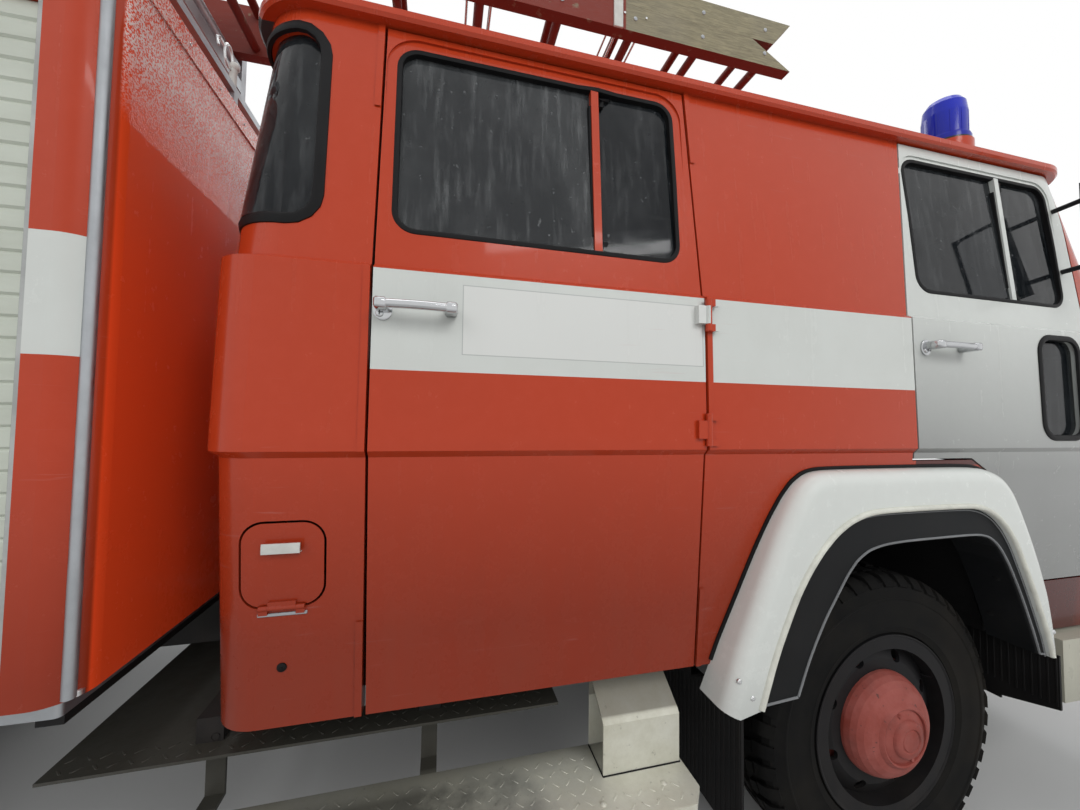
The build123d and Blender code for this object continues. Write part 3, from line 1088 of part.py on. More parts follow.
# Rack on the body roof with its rollers, and the wooden extension ladder
LADDER_Y = -520
LADDER_HALF = 245
STILE = (44, 104)
LADDER_LOW_Z = 2985
LADDER_FRONT_X = 0
LADDER_REAR_X = -5060
RUNG_PITCH = 300
RUNG_RADIUS = 17
ROLLER_RADIUS = 22
RACK_X = (-2330, -4760)
deck = BODY_TOP_Z + ROOF_PLATE
rack = []
for x in RACK_X:
    y0, y1 = LADDER_Y - LADDER_HALF - 60, LADDER_Y + LADDER_HALF + 60
    frame_piece = box(x - 25, x + 25, y0 - 20, y0 + 20, deck + 0.3, LADDER_LOW_Z + 150)
    frame_piece += box(x - 25, x + 25, y1 - 20, y1 + 20, deck + 0.3, LADDER_LOW_Z + 150)
    frame_piece += box(x - 25, x + 25, y0, y1, LADDER_LOW_Z - 130, LADDER_LOW_Z - 80)
    frame_piece += box(x - 60, x + 60, y0 - 45, y0 + 45, deck + 0.3, deck + 10)
    frame_piece += box(x - 60, x + 60, y1 - 45, y1 + 45, deck + 0.3, deck + 10)
    frame_piece += rod(ROLLER_RADIUS, (x, y0, LADDER_LOW_Z - ROLLER_RADIUS - 0.3), (x, y1, LADDER_LOW_Z - ROLLER_RADIUS - 0.3))
    rack.append(frame_piece)
# A low rail across the front of the body roof, on posts
FRONT_RAIL_X = BODY_FRONT_X - 27
FRONT_RAIL = (2520, 24, 1120)
POST_Y = (-1080, -690, 0, 690, 1080)
rim_top = BODY_TOP_Z + ROOF_PLATE + RIM_HEIGHT
half = FRONT_RAIL[1] / 2
rail = box(FRONT_RAIL_X - half, FRONT_RAIL_X + half, -FRONT_RAIL[2], FRONT_RAIL[2], FRONT_RAIL[0], FRONT_RAIL[0] + FRONT_RAIL[1])
for y in POST_Y:
    rail += box(FRONT_RAIL_X - half, FRONT_RAIL_X + half, y - half, y + half, rim_top + SEAT_GAP, FRONT_RAIL[0] + 1)
rack.append(rail)
nodes["roof_rack"] = rack


BASE_SCARF = 190
FLY_SCARF = 90


def ladder(half, z, x_front, x_rear, rung_z, scarf, scarf_on_top):
    """Two stiles, whose front ends are cut aslant at the top or underneath, and the rungs between them."""
    low, high = z, z + STILE[1]
    long_z, short_z = (low, high) if scarf_on_top else (high, low)
    side = ((x_rear, long_z), (x_front, long_z), (x_front - scarf, short_z), (x_rear, short_z))
    pieces = None
    for s in (-1, 1):
        y = LADDER_Y + s * half
        stile = side_prism(side, y - STILE[0] / 2, y + STILE[0] / 2)
        pieces = stile if pieces is None else pieces + stile
    x = x_front - 130
    while x > x_rear + 100:
        pieces += rod(RUNG_RADIUS, (x, LADDER_Y - half, rung_z), (x, LADDER_Y + half, rung_z))
        x -= RUNG_PITCH
    return pieces


nodes["ladder_base"] = ladder(LADDER_HALF, LADDER_LOW_Z, LADDER_FRONT_X, LADDER_REAR_X, LADDER_LOW_Z + 30, BASE_SCARF, True)
FLY_Z = LADDER_LOW_Z + STILE[1] + 0.3
nodes["ladder_fly"] = ladder(LADDER_HALF, FLY_Z, LADDER_FRONT_X + 5, LADDER_REAR_X + 60, FLY_Z + 70, FLY_SCARF, False)

# Tanks, lamps and tow jaws
TANK_WIDTH = 350
nodes["fuel_tank"] = extrude(
    Plane(origin=(-1930, RAIL_Y + 0.3 + TANK_WIDTH / 2, 585), x_dir=(0, 1, 0), z_dir=(1, 0, 0))
    * RectangleRounded(TANK_WIDTH, 330, 60),
    410,
)
nodes["tail_lamps"] = [
    box(BODY_REAR_X - 40, BODY_REAR_X - 0.3, s * 1010, s * 1190, BODY_SILL_Z + 10, BODY_SILL_Z + 80) for s in (-1, 1)
]

# Write every node
os.makedirs("parts", exist_ok=True)
for name, shape in nodes.items():
    solids = []
    for piece in shape if isinstance(shape, list) else [shape]:
        solids.extend(piece.solids())
    moved = [s.moved(Location((SHIFT_X, 0, 0))) for s in solids]
    whole = moved[0] if len(moved) == 1 else Compound(children=moved)
    export_step(whole, f"parts/{name}.step")
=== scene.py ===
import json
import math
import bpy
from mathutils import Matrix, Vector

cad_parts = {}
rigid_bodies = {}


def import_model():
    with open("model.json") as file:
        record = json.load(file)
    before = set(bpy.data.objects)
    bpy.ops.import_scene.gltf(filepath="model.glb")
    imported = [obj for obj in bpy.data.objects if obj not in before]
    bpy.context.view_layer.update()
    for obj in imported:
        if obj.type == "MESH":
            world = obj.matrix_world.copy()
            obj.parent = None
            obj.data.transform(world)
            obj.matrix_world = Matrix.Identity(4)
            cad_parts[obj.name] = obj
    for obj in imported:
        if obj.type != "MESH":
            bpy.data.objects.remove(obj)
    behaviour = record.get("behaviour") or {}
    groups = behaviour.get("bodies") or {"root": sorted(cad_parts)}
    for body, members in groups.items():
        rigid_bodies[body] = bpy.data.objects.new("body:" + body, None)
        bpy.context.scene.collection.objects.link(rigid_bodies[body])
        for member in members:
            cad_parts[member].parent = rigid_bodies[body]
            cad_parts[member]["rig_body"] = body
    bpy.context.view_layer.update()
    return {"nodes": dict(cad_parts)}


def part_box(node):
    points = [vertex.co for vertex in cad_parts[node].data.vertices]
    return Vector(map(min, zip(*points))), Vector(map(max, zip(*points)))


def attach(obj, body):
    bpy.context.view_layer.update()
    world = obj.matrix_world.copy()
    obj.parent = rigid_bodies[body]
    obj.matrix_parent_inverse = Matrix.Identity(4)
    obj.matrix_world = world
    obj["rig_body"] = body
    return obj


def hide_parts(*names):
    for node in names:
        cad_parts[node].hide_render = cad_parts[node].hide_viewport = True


bl_info = {
    "name": "Crew cab fire engine",
    "version": (1, 0, 0),
    "blender": (4, 5, 0),
    "location": "View3D > Sidebar > Fire Engine",
    "description": "Gives the fire engine its finishes, tyres, trim and fittings, and sets up the studio",
    "category": "Object",
}

from itertools import product

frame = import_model()

import bmesh
import bpy
from bpy.props import BoolProperty, FloatProperty, FloatVectorProperty, IntProperty, PointerProperty
from mathutils import Matrix, Vector
from mathutils.bvhtree import BVHTree


# Places on the vehicle, in metres, worked out from the frame

def middle(node):
    """The middle of a CAD node's box."""
    low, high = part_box(node)
    return (low + high) / 2


def widest(node):
    """How far out a CAD node reaches from the vehicle's middle."""
    low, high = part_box(node)
    return max(abs(low.y), abs(high.y))


FRONT_WHEEL = middle("tyre_front_right")
REAR_WHEELS = middle("tyres_rear_right")
AXLE_X = FRONT_WHEEL.x
WHEEL_RADIUS = FRONT_WHEEL.z
TYRE_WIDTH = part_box("tyre_front_right")[1].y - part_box("tyre_front_right")[0].y
TWIN_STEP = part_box("tyres_rear_right")[1].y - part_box("tyres_rear_right")[0].y - TYRE_WIDTH
BODY_FRONT_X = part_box("body_end_walls")[1].x
GUTTER_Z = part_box("cab_roof")[0].z
SIDES = (("right", -1), ("left", 1))
AHEAD, BACK, UP, RIGHT = (1, 0, 0), (-1, 0, 0), (0, 0, 1), (0, -1, 0)


def at(x):
    """A place along the vehicle, from its distance ahead of the front axle."""
    return AXLE_X + x


# Edges of the cab's panels, from the front axle and the ground
CREASE_Z = 1.385
BELT_Z = 1.815
SILL_Z = 0.762
REAR_DOOR = (-1.6, -0.715)
FRONT_DOOR = (0.062, 0.97)
# The wheel opening: the outlines of the fender, of the rubber flare on it and of the opening, in X and Z
FENDER_EDGE = (
    (-0.692, 0.69), (-0.668, 0.755), (-0.642, 0.83), (-0.594, 0.943), (-0.534, 1.085), (-0.492, 1.172),
    (-0.452, 1.24), (-0.418, 1.283), (-0.378, 1.31), (-0.33, 1.32), (-0.195, 1.322), (0.229, 1.322),
    (0.335, 1.318), (0.395, 1.296), (0.44, 1.25), (0.478, 1.18), (0.52, 1.09), (0.56, 0.99),
    (0.592, 0.895), (0.612, 0.79), (0.622, 0.7),
)
FLARE_EDGE = (
    (-0.578, 0.69), (-0.528, 0.832), (-0.462, 0.97), (-0.418, 1.038), (-0.372, 1.093), (-0.325, 1.136),
    (-0.275, 1.167), (-0.215, 1.188), (-0.14, 1.196), (0.209, 1.197), (0.272, 1.186), (0.325, 1.16),
    (0.37, 1.118), (0.408, 1.062), (0.445, 0.985), (0.484, 0.9), (0.519, 0.815), (0.548, 0.74), (0.56, 0.69),
)
OPENING_EDGE = (
    (-0.448, 0.7), (-0.412, 0.786), (-0.378, 0.852), (-0.345, 0.908), (-0.307, 0.962), (-0.27, 1.015),
    (-0.234, 1.054), (-0.19, 1.08), (-0.13, 1.093), (-0.04, 1.099), (0.255, 1.103), (0.308, 1.092),
    (0.348, 1.062), (0.385, 1.01), (0.422, 0.94), (0.458, 0.862), (0.488, 0.79), (0.512, 0.726), (0.52, 0.7),
)
# Windows on each side: rear edge, front edge, low edge, top edge, corner radius
REAR_WINDOW = (-1.552, -0.79, 1.922, 2.408, 0.045)
REAR_WINDOW_BAR = -1.028
FRONT_WINDOW = (0.135, 0.862, 1.922, 2.4, 0.05)
FRONT_WINDOW_BAR = 0.6
KERB_WINDOW = (0.67, 0.88, 1.422, 1.785, 0.055)
WINDOW_BAR = 0.022


# Settings that a user would change

def colour_setting(name, description, default):
    return FloatVectorProperty(
        name=name, description=description, subtype="COLOR", size=3, min=0, max=1, default=default
    )


def length_setting(name, description, default):
    return FloatProperty(name=name, description=description, unit="LENGTH", default=default)


class PaintSettings(bpy.types.PropertyGroup):
    """Colours and places of the bodywork's paint."""

    red: colour_setting("Red", "Body colour", (0.44, 0.04, 0.009))
    white: colour_setting("White", "Front doors, fenders and band", (0.6, 0.62, 0.59))
    cream: colour_setting("Cream", "Bumper", (0.5, 0.49, 0.4))
    band_low: length_setting("Band low edge", "Height of the white band's low edge", 1.573)
    band_high: length_setting("Band top edge", "Height of the white band's top edge", 1.812)
    dust: FloatProperty(
        name="Road dust", description="How much dust lies on the lower panels", subtype="FACTOR", min=0, max=1,
        default=0.2,
    )


class WheelSettings(bpy.types.PropertyGroup):
    """The tyres' tread and the hubs' red."""

    shoulder_lugs: IntProperty(name="Shoulder lugs", description="Lugs on each shoulder", min=20, max=80, default=46)
    groove_depth: length_setting("Groove depth", "Depth of the tread's grooves", 0.013)
    hub_red: colour_setting("Hub red", "Worn red of the hub caps", (0.235, 0.044, 0.031))


class TrimSettings(bpy.types.PropertyGroup):
    """Rubber and step trim."""

    gasket: length_setting("Gasket width", "Width of the window rubbers", 0.014)
    piping: length_setting("Piping", "Diameter of the piping on the flares", 0.007)
    tread_pitch: length_setting("Tread pitch", "Distance between the raised bars of the step plates", 0.034)
    tread_bars: BoolProperty(name="Tread bars", description="Raise the bars of the step plates", default=True)


class LadderSettings(bpy.types.PropertyGroup):
    """The wooden ladder's rods and paint."""

    rod: length_setting("Tie rod", "Diameter of the rods beside the rungs", 0.009)
    sleeve: length_setting("Painted length", "Where the stiles' red paint ends, behind the front axle", 0.77)


class StudioSettings(bpy.types.PropertyGroup):
    """The floor, the lamps and the photographer's camera."""

    floor: colour_setting("Floor", "Colour of the floor and backdrop", (0.6, 0.6, 0.59))
    lens: FloatProperty(name="Lens", description="Focal length for a 36 mm wide frame", unit="CAMERA", default=13.51)
    heading: FloatProperty(
        name="Heading", description="Turn of the camera from square on, towards the front", subtype="ANGLE",
        default=math.radians(13.6135),
    )
    pitch: FloatProperty(name="Pitch", description="Upward tilt", subtype="ANGLE", default=math.radians(2.3032))
    roll: FloatProperty(name="Roll", description="Sideways tilt", subtype="ANGLE", default=math.radians(0.6967))
    stand: FloatVectorProperty(
        name="Camera place", description="From the front axle and the ground", subtype="TRANSLATION", size=3,
        default=(-1.4349, -2.1861, 1.4576),
    )
    light: FloatProperty(name="Light", description="Strength of all the lamps together", min=0, max=4, default=1.0)


# Shader maths

class Wire:
    """An output of a shader node. Python's operators on it add the nodes that work them out."""

    def __init__(self, graph, socket):
        self.graph = graph
        self.socket = socket

    def _work(self, operation, a, b):
        kinds = [value.socket.type for value in (a, b) if isinstance(value, Wire)]
        if "RGBA" in kinds and "VECTOR" not in kinds:
            return self.graph.mix(1, a, b, operation)
        kind = "ShaderNodeVectorMath" if "VECTOR" in kinds else "ShaderNodeMath"
        return self.graph.node(kind, {"operation": operation}, {0: a, 1: b})

    def __add__(self, other):
        return self._work("ADD", self, other)

    def __radd__(self, other):
        return self._work("ADD", other, self)

    def __sub__(self, other):
        return self._work("SUBTRACT", self, other)

    def __rsub__(self, other):
        return self._work("SUBTRACT", other, self)

    def __mul__(self, other):
        return self._work("MULTIPLY", self, other)

    def __rmul__(self, other):
        return self._work("MULTIPLY", other, self)

    def __pow__(self, other):
        return self._work("POWER", self, other)

    def __abs__(self):
        return self.graph.node("ShaderNodeMath", {"operation": "ABSOLUTE"}, {0: self})

    def greater(self, edge, width=0.0005):
        """1 over edge and 0 under it, with a soft step that is width wide."""
        return self.graph.ramp(self, edge - width / 2, edge + width / 2)

    def less(self, edge, width=0.0005):
        return self.graph.ramp(self, edge + width / 2, edge - width / 2)

    def between(self, low, high):
        return self.greater(low) * self.less(high)


class Graph:
    """A node tree while it is made."""

    def __init__(self, tree):
        self.tree = tree
        tree.nodes.clear()

    def feed(self, socket, value):
        """Links a wire to a socket, or sets the socket's own value."""
        if isinstance(value, Wire):
            self.tree.links.new(value.socket, socket)
        elif hasattr(socket.default_value, "__len__"):
            size = len(socket.default_value)
            value = tuple(value) if hasattr(value, "__len__") else (value,) * 3
            socket.default_value = (value + (1.0,))[:size]
        else:
            socket.default_value = value

    def node(self, kind, settings=None, inputs=None, output=0):
        """One node of any kind: its settings first, then the values or wires of its sockets."""
        made = self.tree.nodes.new(kind)
        for name, value in (settings or {}).items():
            setattr(made, name, value)
        for key, value in (inputs or {}).items():
            self.feed(made.inputs[key], value)
        return Wire(self, made.outputs[output]) if made.outputs else None

    def mix(self, factor, a, b, blend="MIX"):
        """Two colours mixed, by a number or a mask."""
        return self.node(
            "ShaderNodeMix", {"data_type": "RGBA", "blend_type": blend}, {0: factor, 6: a, 7: b}, output=2
        )

    def ramp(self, value, low, high, to_low=0, to_high=1):
        """Value from low to high, carried over to to_low to to_high and held there."""
        if low > high:
            low, high, to_low, to_high = high, low, to_high, to_low
        return self.node(
            "ShaderNodeMapRange", {"clamp": True},
            {"Value": value, "From Min": low, "From Max": high, "To Min": to_low, "To Max": to_high},
        )

    def seen_rays(self):
        """1 for the camera's own rays and for those that it sees in metal and through glass."""
        kinds = ("Camera", "Glossy", "Transmission")
        camera, glossy, glass = (self.node("ShaderNodeLightPath", output=f"Is {kind} Ray") for kind in kinds)
        return self.ramp(camera + glossy + glass, 0, 1)


class Finish(Graph):
    """A material while it is made."""

    def __init__(self, name, **constants):
        self.material = bpy.data.materials.new(name)
        self.material.use_nodes = True
        super().__init__(self.material.node_tree)
        self.shader = self.tree.nodes.new("ShaderNodeBsdfPrincipled")
        self.surface = self.tree.nodes.new("ShaderNodeOutputMaterial").inputs["Surface"]
        self.tree.links.new(self.shader.outputs[0], self.surface)
        self.place = self.node("ShaderNodeTexCoord", output="Object")
        self.x, self.y, self.z = self.axes(self.place)
        for name, value in constants.items():
            self.feed(self.shader.inputs[name.replace("_", " ")], value)

    def axes(self, vector):
        """The three numbers of a vector."""
        split = self.tree.nodes.new("ShaderNodeSeparateXYZ")
        self.tree.links.new(vector.socket, split.inputs[0])
        return [Wire(self, output) for output in split.outputs]

    def facing_up(self):
        """1 where the surface faces up, 0 where it is upright and -1 where it faces down."""
        return self.axes(self.node("ShaderNodeNewGeometry", output="Normal"))[2]

    def noise(self, scale, detail=3, rough=0.5, stretch=(1, 1, 1), twist=0):
        place = self.place if stretch == (1, 1, 1) else self.place * stretch
        return self.node(
            "ShaderNodeTexNoise", {},
            {"Vector": place, "Scale": scale, "Detail": detail, "Roughness": rough, "Distortion": twist},
        )

    def waves(self, direction, scale, twist):
        return self.node(
            "ShaderNodeTexWave", {"bands_direction": direction},
            {"Vector": self.place, "Scale": scale, "Distortion": twist},
        )

    def bump(self, height, depth, strength=1.0, under=None):
        """A normal from a height in 0 to 1 that stands for depth metres."""
        inputs = {"Height": height, "Distance": depth, "Strength": strength}
        if under is not None:
            inputs["Normal"] = under
        return self.node("ShaderNodeBump", {}, inputs)

    def wear(self, colour, roughness, metallic=None, normal=None, **more):
        """Joins what changes over the surface to the shader, and gives the material."""
        changing = {"Base Color": colour, "Roughness": roughness, "Metallic": metallic, "Normal": normal}
        changing.update((name.replace("_", " "), value) for name, value in more.items())
        for socket, value in changing.items():
            if value is not None:
                self.feed(self.shader.inputs[socket], value)
        return self.material


# Finishes

DUST = (0.15, 0.12, 0.09)
CHROME = (0.52, 0.53, 0.54)
FINISHES = {}


def road_dust(f, amount, low=0.45, high=1.45):
    """A mask of dust that thickens downwards, in streaks and patches."""
    height = f.ramp(f.z, high, low)
    streaks = f.ramp(f.noise(5.0, 4, 0.6, (3.0, 3.0, 0.35)), 0.35, 0.72)
    patches = f.ramp(f.noise(2.2, 5, 0.62), 0.3, 0.75)
    return (height * 0.75 + 0.12) * (streaks * 0.45 + patches * 0.55) * amount


def sheet_metal(f):
    """Orange peel in the paint over the slow waves of pressed panels."""
    panel = f.bump(f.noise(1.7, 2, 0.4), 0.0099, 0.16)
    return f.bump(f.noise(420, 2, 0.5), 0.00012, 0.5, panel)


def shade(colour, times, plus=0, most=1):
    """A colour made darker or lighter."""
    return tuple(min(most, c * times + plus) for c in colour)


def gloss_paint(name, colour, dust, band=None, handle=None, lining=None, front_wall_painted_light=False, sticker=None,
                painted_shade_below=(1.42, 0.95, 0.62), shadow_line=False):
    """Sprayed bodywork paint. band is (rear X, front X, least distance out) of the white band. handle is the box in
    X and Z, and the least distance out, of a chromed handle that is part of the panel. lining is walls or ceiling,
    where the inner face is dark grey. front_wall_painted_light is the body's front wall: its colour is painted
    lighter as painted light, and its rough upper part gets painted glints and a rough bump. sticker is the outlined
    field in X and Z with its line's width. painted_shade_below is (unshaded above, shaded below, how much) of a
    painted shade that darkens the lower panels, in heights. shadow_line paints shadow into the seam over the fender
    and onto the panel under the front door."""
    paint = bpy.context.scene.engine_paint
    f = Finish(name, Coat_Roughness=0.05, Coat_IOR=1.4, Specular_IOR_Level=0.22)
    out = abs(f.y)
    fade = f.noise(0.9, 3, 0.5)
    fine = f.noise(26, 4, 0.65)
    base = f.mix(f.ramp(fade, 0.3, 0.72) * 0.3, colour, shade(colour, 0.8, 0.006))
    base = f.mix(f.ramp(fine, 0.42, 0.7) * 0.1, base, shade(colour, 1.15, 0.03))
    if band:
        rear, front, least_out = band
        stripe = f.x.between(at(rear), at(front)) * f.z.between(paint.band_low, paint.band_high)
        film = f.mix(f.ramp(f.noise(7, 4, 0.6), 0.4, 0.75) * 0.16, paint.white, (0.46, 0.46, 0.42))
        base = f.mix(stripe * out.greater(least_out), base, film)
    if sticker:
        x0, x1, z0, z1, line = sticker
        whole = f.x.between(at(x0), at(x1)) * f.z.between(z0, z1)
        inner = f.x.between(at(x0) + line, at(x1) - line) * f.z.between(z0 + line, z1 - line)
        right = f.y.less(-1.15)
        base = f.mix(inner * right * 0.85, base, (0.66, 0.665, 0.64))
        base = f.mix((whole - inner) * right * 0.55, base, (0.26, 0.27, 0.27))
    # Painted shade: the colour darkens from one height down to a lower one, for the shade on the lower panels.
    unshaded_above, shaded_below, amount = painted_shade_below
    film = f.ramp(f.z, unshaded_above, shaded_below) * (f.ramp(fade, 0.25, 0.75) * 0.25 + 0.8) * amount
    base = f.mix(f.ramp(film, 0, 1), base, shade(colour, 0.3, most=0.13))
    grime = road_dust(f, dust)
    runs = f.ramp(f.noise(9, 3, 0.55, (4, 4, 0.1)), 0.6, 0.8) * f.ramp(f.z, 1.2, 2.2, 0.25, 1)
    scratches = f.ramp(f.noise(30, 2, 0.4, (0.25, 0.25, 6), 0.6), 0.7, 0.745) * f.ramp(f.noise(1.3, 2), 0.5, 0.65)
    base = f.mix(runs * 0.07, base, DUST)
    base = f.mix(scratches * 0.15, base, shade(colour, 0.6, 0.25))
    base = f.mix(grime, base, DUST)
    roughness = fine * 0.1 + grime * 0.55 + runs * 0.08 + 0.2
    normal = sheet_metal(f)
    if front_wall_painted_light:
        # Painted light: the front wall's colour is made lighter, and painted glints are scattered over its rough upper
        # part.
        front_wall = f.x.greater(BODY_FRONT_X - 0.004, 0.002)
        base = f.mix(front_wall * 0.85, base, shade(colour, 2))
        rough_part = f.z.greater(2.085, 0.01) * front_wall
        grains = f.noise(230, 2, 0.6)
        painted_glints = f.ramp(grains, 0.46, 0.54) * f.ramp(f.z, 2.1, 2.27) * rough_part
        base = f.mix(painted_glints * 0.85, base, (0.9, 0.8, 0.76))
        normal = f.bump(f.ramp(grains, 0.38, 0.66) * rough_part, 0.0009, 0.6, normal)
    if shadow_line:
        # Painted shadow in the seam over the fender and on the panel under the front door.
        over_fender = f.x.between(at(0.075), at(0.5)) * f.z.between(1.327, 1.352)
        under_door = f.x.greater(at(0.5)) * f.ramp(f.x, at(1.08), at(0.92)) * f.ramp(f.z, 1.1, 0.98)
        painted_shadow = f.ramp((over_fender + under_door) * out.greater(1.09), 0, 1)
        base = f.mix(painted_shadow * 0.92, base, (0.052, 0.004, 0.003))
    inside = cab_lining(f, out, lining) if lining else None
    if inside:
        base = f.mix(inside, base, (0.05, 0.05, 0.052))
        roughness = roughness * (1 - inside) + inside * 0.75
    metallic = None
    if handle:
        x0, x1, z0, z1, least_out = handle
        metallic = f.x.between(at(x0), at(x1)) * f.z.between(z0, z1) * out.greater(least_out)
        base = f.mix(metallic, base, CHROME)
        roughness = roughness * (1 - metallic) + metallic * 0.14
    return f.wear(base, roughness, metallic, normal, Coat_Weight=f.ramp(grime, 0, 0.3, 0.32, 0.06))


def cab_lining(f, out, part):
    """A mask of the inner face of the cab's ceiling or walls, from the same slopes as the panels."""
    if part == "ceiling":
        return f.facing_up().less(-0.3, 0.05) * out.less(1.06, 0.002)
    wall_face = 1.168
    reach = out + f.ramp(f.z, BELT_Z, GUTTER_Z) * 0.075 + f.ramp(f.z, CREASE_Z, SILL_Z) * 0.065
    lean = f.ramp(f.z, BELT_Z + 0.01, GUTTER_Z)
    back = f.ramp(f.z, BELT_Z, BELT_Z + 0.01, at(-1.902), at(-1.882)) + lean * 0.03
    face = f.ramp(f.z, BELT_Z, BELT_Z + 0.01, at(0.98), at(0.965)) - lean * 0.185
    rear_corner = f.ramp(f.x - back, 0.055, 0) * 0.033
    return (reach + rear_corner).less(wall_face, 0.002) * (f.x - back).greater(0) * (f.x - face).less(0)


def dull_paint(name, colour, dust=0.5, low=0.3, high=1.3):
    """Chassis and wheel paint under a film of dust."""
    f = Finish(name, Specular_IOR_Level=0.15)
    patches = f.noise(14, 5, 0.65)
    base = f.mix(f.ramp(patches, 0.35, 0.7) * 0.5, colour, shade(colour, 1.6, 0.004))
    grime = road_dust(f, dust, low, high)
    base = f.mix(grime, base, DUST)
    return f.wear(base, patches * 0.2 + grime * 0.3 + 0.42, None, f.bump(f.noise(260, 3, 0.6), 0.0003, 0.5))


def chipped_hub_red():
    """Brushed-on red that has worn pale, with dark grease and a few chips."""
    colour = bpy.context.scene.engine_wheels.hub_red
    f = Finish("hub_cap_red", Specular_IOR_Level=0.25)
    worn = f.noise(11, 6, 0.7)
    chips = f.ramp(f.noise(55, 3, 0.6), 0.66, 0.7)
    base = f.mix(f.ramp(worn, 0.32, 0.72), colour, shade(colour, 1.25, 0.045))
    base = f.mix(f.ramp(f.noise(5, 4, 0.6), 0.55, 0.8) * 0.6, base, (0.07, 0.05, 0.045))
    base = f.mix(chips * 0.7, base, (0.04, 0.032, 0.03))
    return f.wear(base, worn * 0.25 + 0.42, None, f.bump(worn * 0.5 + (1 - chips), 0.0006, 0.5))


def tyre_rubber():
    """Road-worn rubber: dust in the tread and brown scuffs on the sidewall."""
    f = Finish("tyre_rubber", Specular_IOR_Level=0.08)
    scuff = f.noise(9.0, 6, 0.7)
    base = f.mix(f.ramp(scuff, 0.35, 0.75), (0.005, 0.005, 0.0052), (0.013, 0.0125, 0.0115))
    base = f.mix(f.ramp(f.noise(3.0, 3, 0.6), 0.45, 0.8) * 0.3, base, (0.04, 0.033, 0.024))
    grain = f.noise(320.0, 3, 0.6)
    return f.wear(base, f.ramp(scuff, 0.3, 0.8, 0.62, 0.9), None, f.bump(grain * 0.6 + scuff * 0.4, 0.0007, 0.6))


def soft_black(name, colour, grain, dust):
    """Vinyl, rubber and moulded black plastic with a leathery grain."""
    f = Finish(name, Specular_IOR_Level=0.12)
    leather = f.node("ShaderNodeTexVoronoi", {"feature": "F1"}, {"Vector": f.place, "Scale": grain})
    dirt = road_dust(f, dust, 0.5, 1.4)
    haze = f.ramp(f.noise(6, 4, 0.6), 0.4, 0.75)
    base = f.mix(haze * 0.5, colour, shade(colour, 1.7, 0.004))
    base = f.mix(dirt, base, DUST)
    return f.wear(base, haze * 0.12 + dirt * 0.3 + 0.46, None, f.bump(leather, 0.0004, 0.6))


def bare_metal(name, colour, roughness, brushed=(1, 1, 1), dirt=0.25, metallic=1.0):
    """Aluminium or chrome, with fine brushing and dull patches."""
    f = Finish(name)
    dull = f.ramp(f.noise(8, 5, 0.65), 0.4, 0.72) * dirt
    lines = f.noise(180, 3, 0.6, brushed)
    base = f.mix(dull, colour, shade(colour, 0.45))
    return f.wear(base, lines * 0.1 + dull * 0.72 + roughness, metallic - dull, f.bump(lines, 0.00025, 0.5))


def step_plate():
    """Tread plate that boots have dulled, with pale grime in its hollows. Painted shade darkens the deck, the brackets,
    the places under the cab and the plate's rear part, and the step cover's sloping top a little."""
    f = Finish("step_plate")
    mud = f.ramp(f.noise(6.5, 6, 0.7), 0.35, 0.7)
    rub = f.noise(60, 4, 0.6)
    spots = f.ramp(f.noise(34, 3, 0.6), 0.66, 0.72)
    base = f.mix(mud, (0.69, 0.685, 0.6), (0.5, 0.485, 0.39))
    base = f.mix(spots * 0.4, base, (0.09, 0.08, 0.06))
    # Painted shade on the deck, the brackets and the places under the cab.
    painted_shade_under = f.ramp(abs(f.y).less(1.03, 0.09) + f.z.greater(0.6), 0, 1)
    step_cover = f.z.between(0.503, 0.72) * f.x.greater(at(-1.0)) * abs(f.y).greater(1.008)
    dark = painted_shade_under * (1 - step_cover)
    base = f.mix(dark * 0.97, base, (0.026, 0.024, 0.019))
    # Painted shade on the step cover's sloping top, which is darker than its front face.
    shaded_cover_top = step_cover * f.z.greater(0.646, 0.003)
    base = f.mix(shaded_cover_top * 0.65, base, (0.135, 0.12, 0.095))
    # Painted shade that darkens the plate towards the rear.
    painted_shade_rear = f.ramp(f.x + mud * 0.25, at(-0.98), at(-1.35)) * (1 - dark)
    base = f.mix(painted_shade_rear * 0.86, base, (0.05, 0.047, 0.037))
    metallic = f.ramp(mud + dark, 0, 1, 0.35, 0.05)
    return f.wear(base, mud * 0.25 + rub * 0.15 + 0.38, metallic, f.bump(rub, 0.0006, 0.6))


def slat_paint():
    """Pale grey-green enamel on the shutters' slats, with dark lines where they hook into each other."""
    f = Finish("shutter_enamel")
    soot = f.ramp(f.noise(4.0, 5, 0.65, (1.0, 1.0, 3.0)), 0.4, 0.75)
    base = f.mix(soot * 0.35, (0.5, 0.53, 0.46), (0.3, 0.31, 0.26))
    base = f.mix(road_dust(f, 0.4), base, DUST)
    return f.wear(base, soot * 0.2 + 0.36, None, f.bump(f.noise(300.0, 2), 0.0002, 0.4))


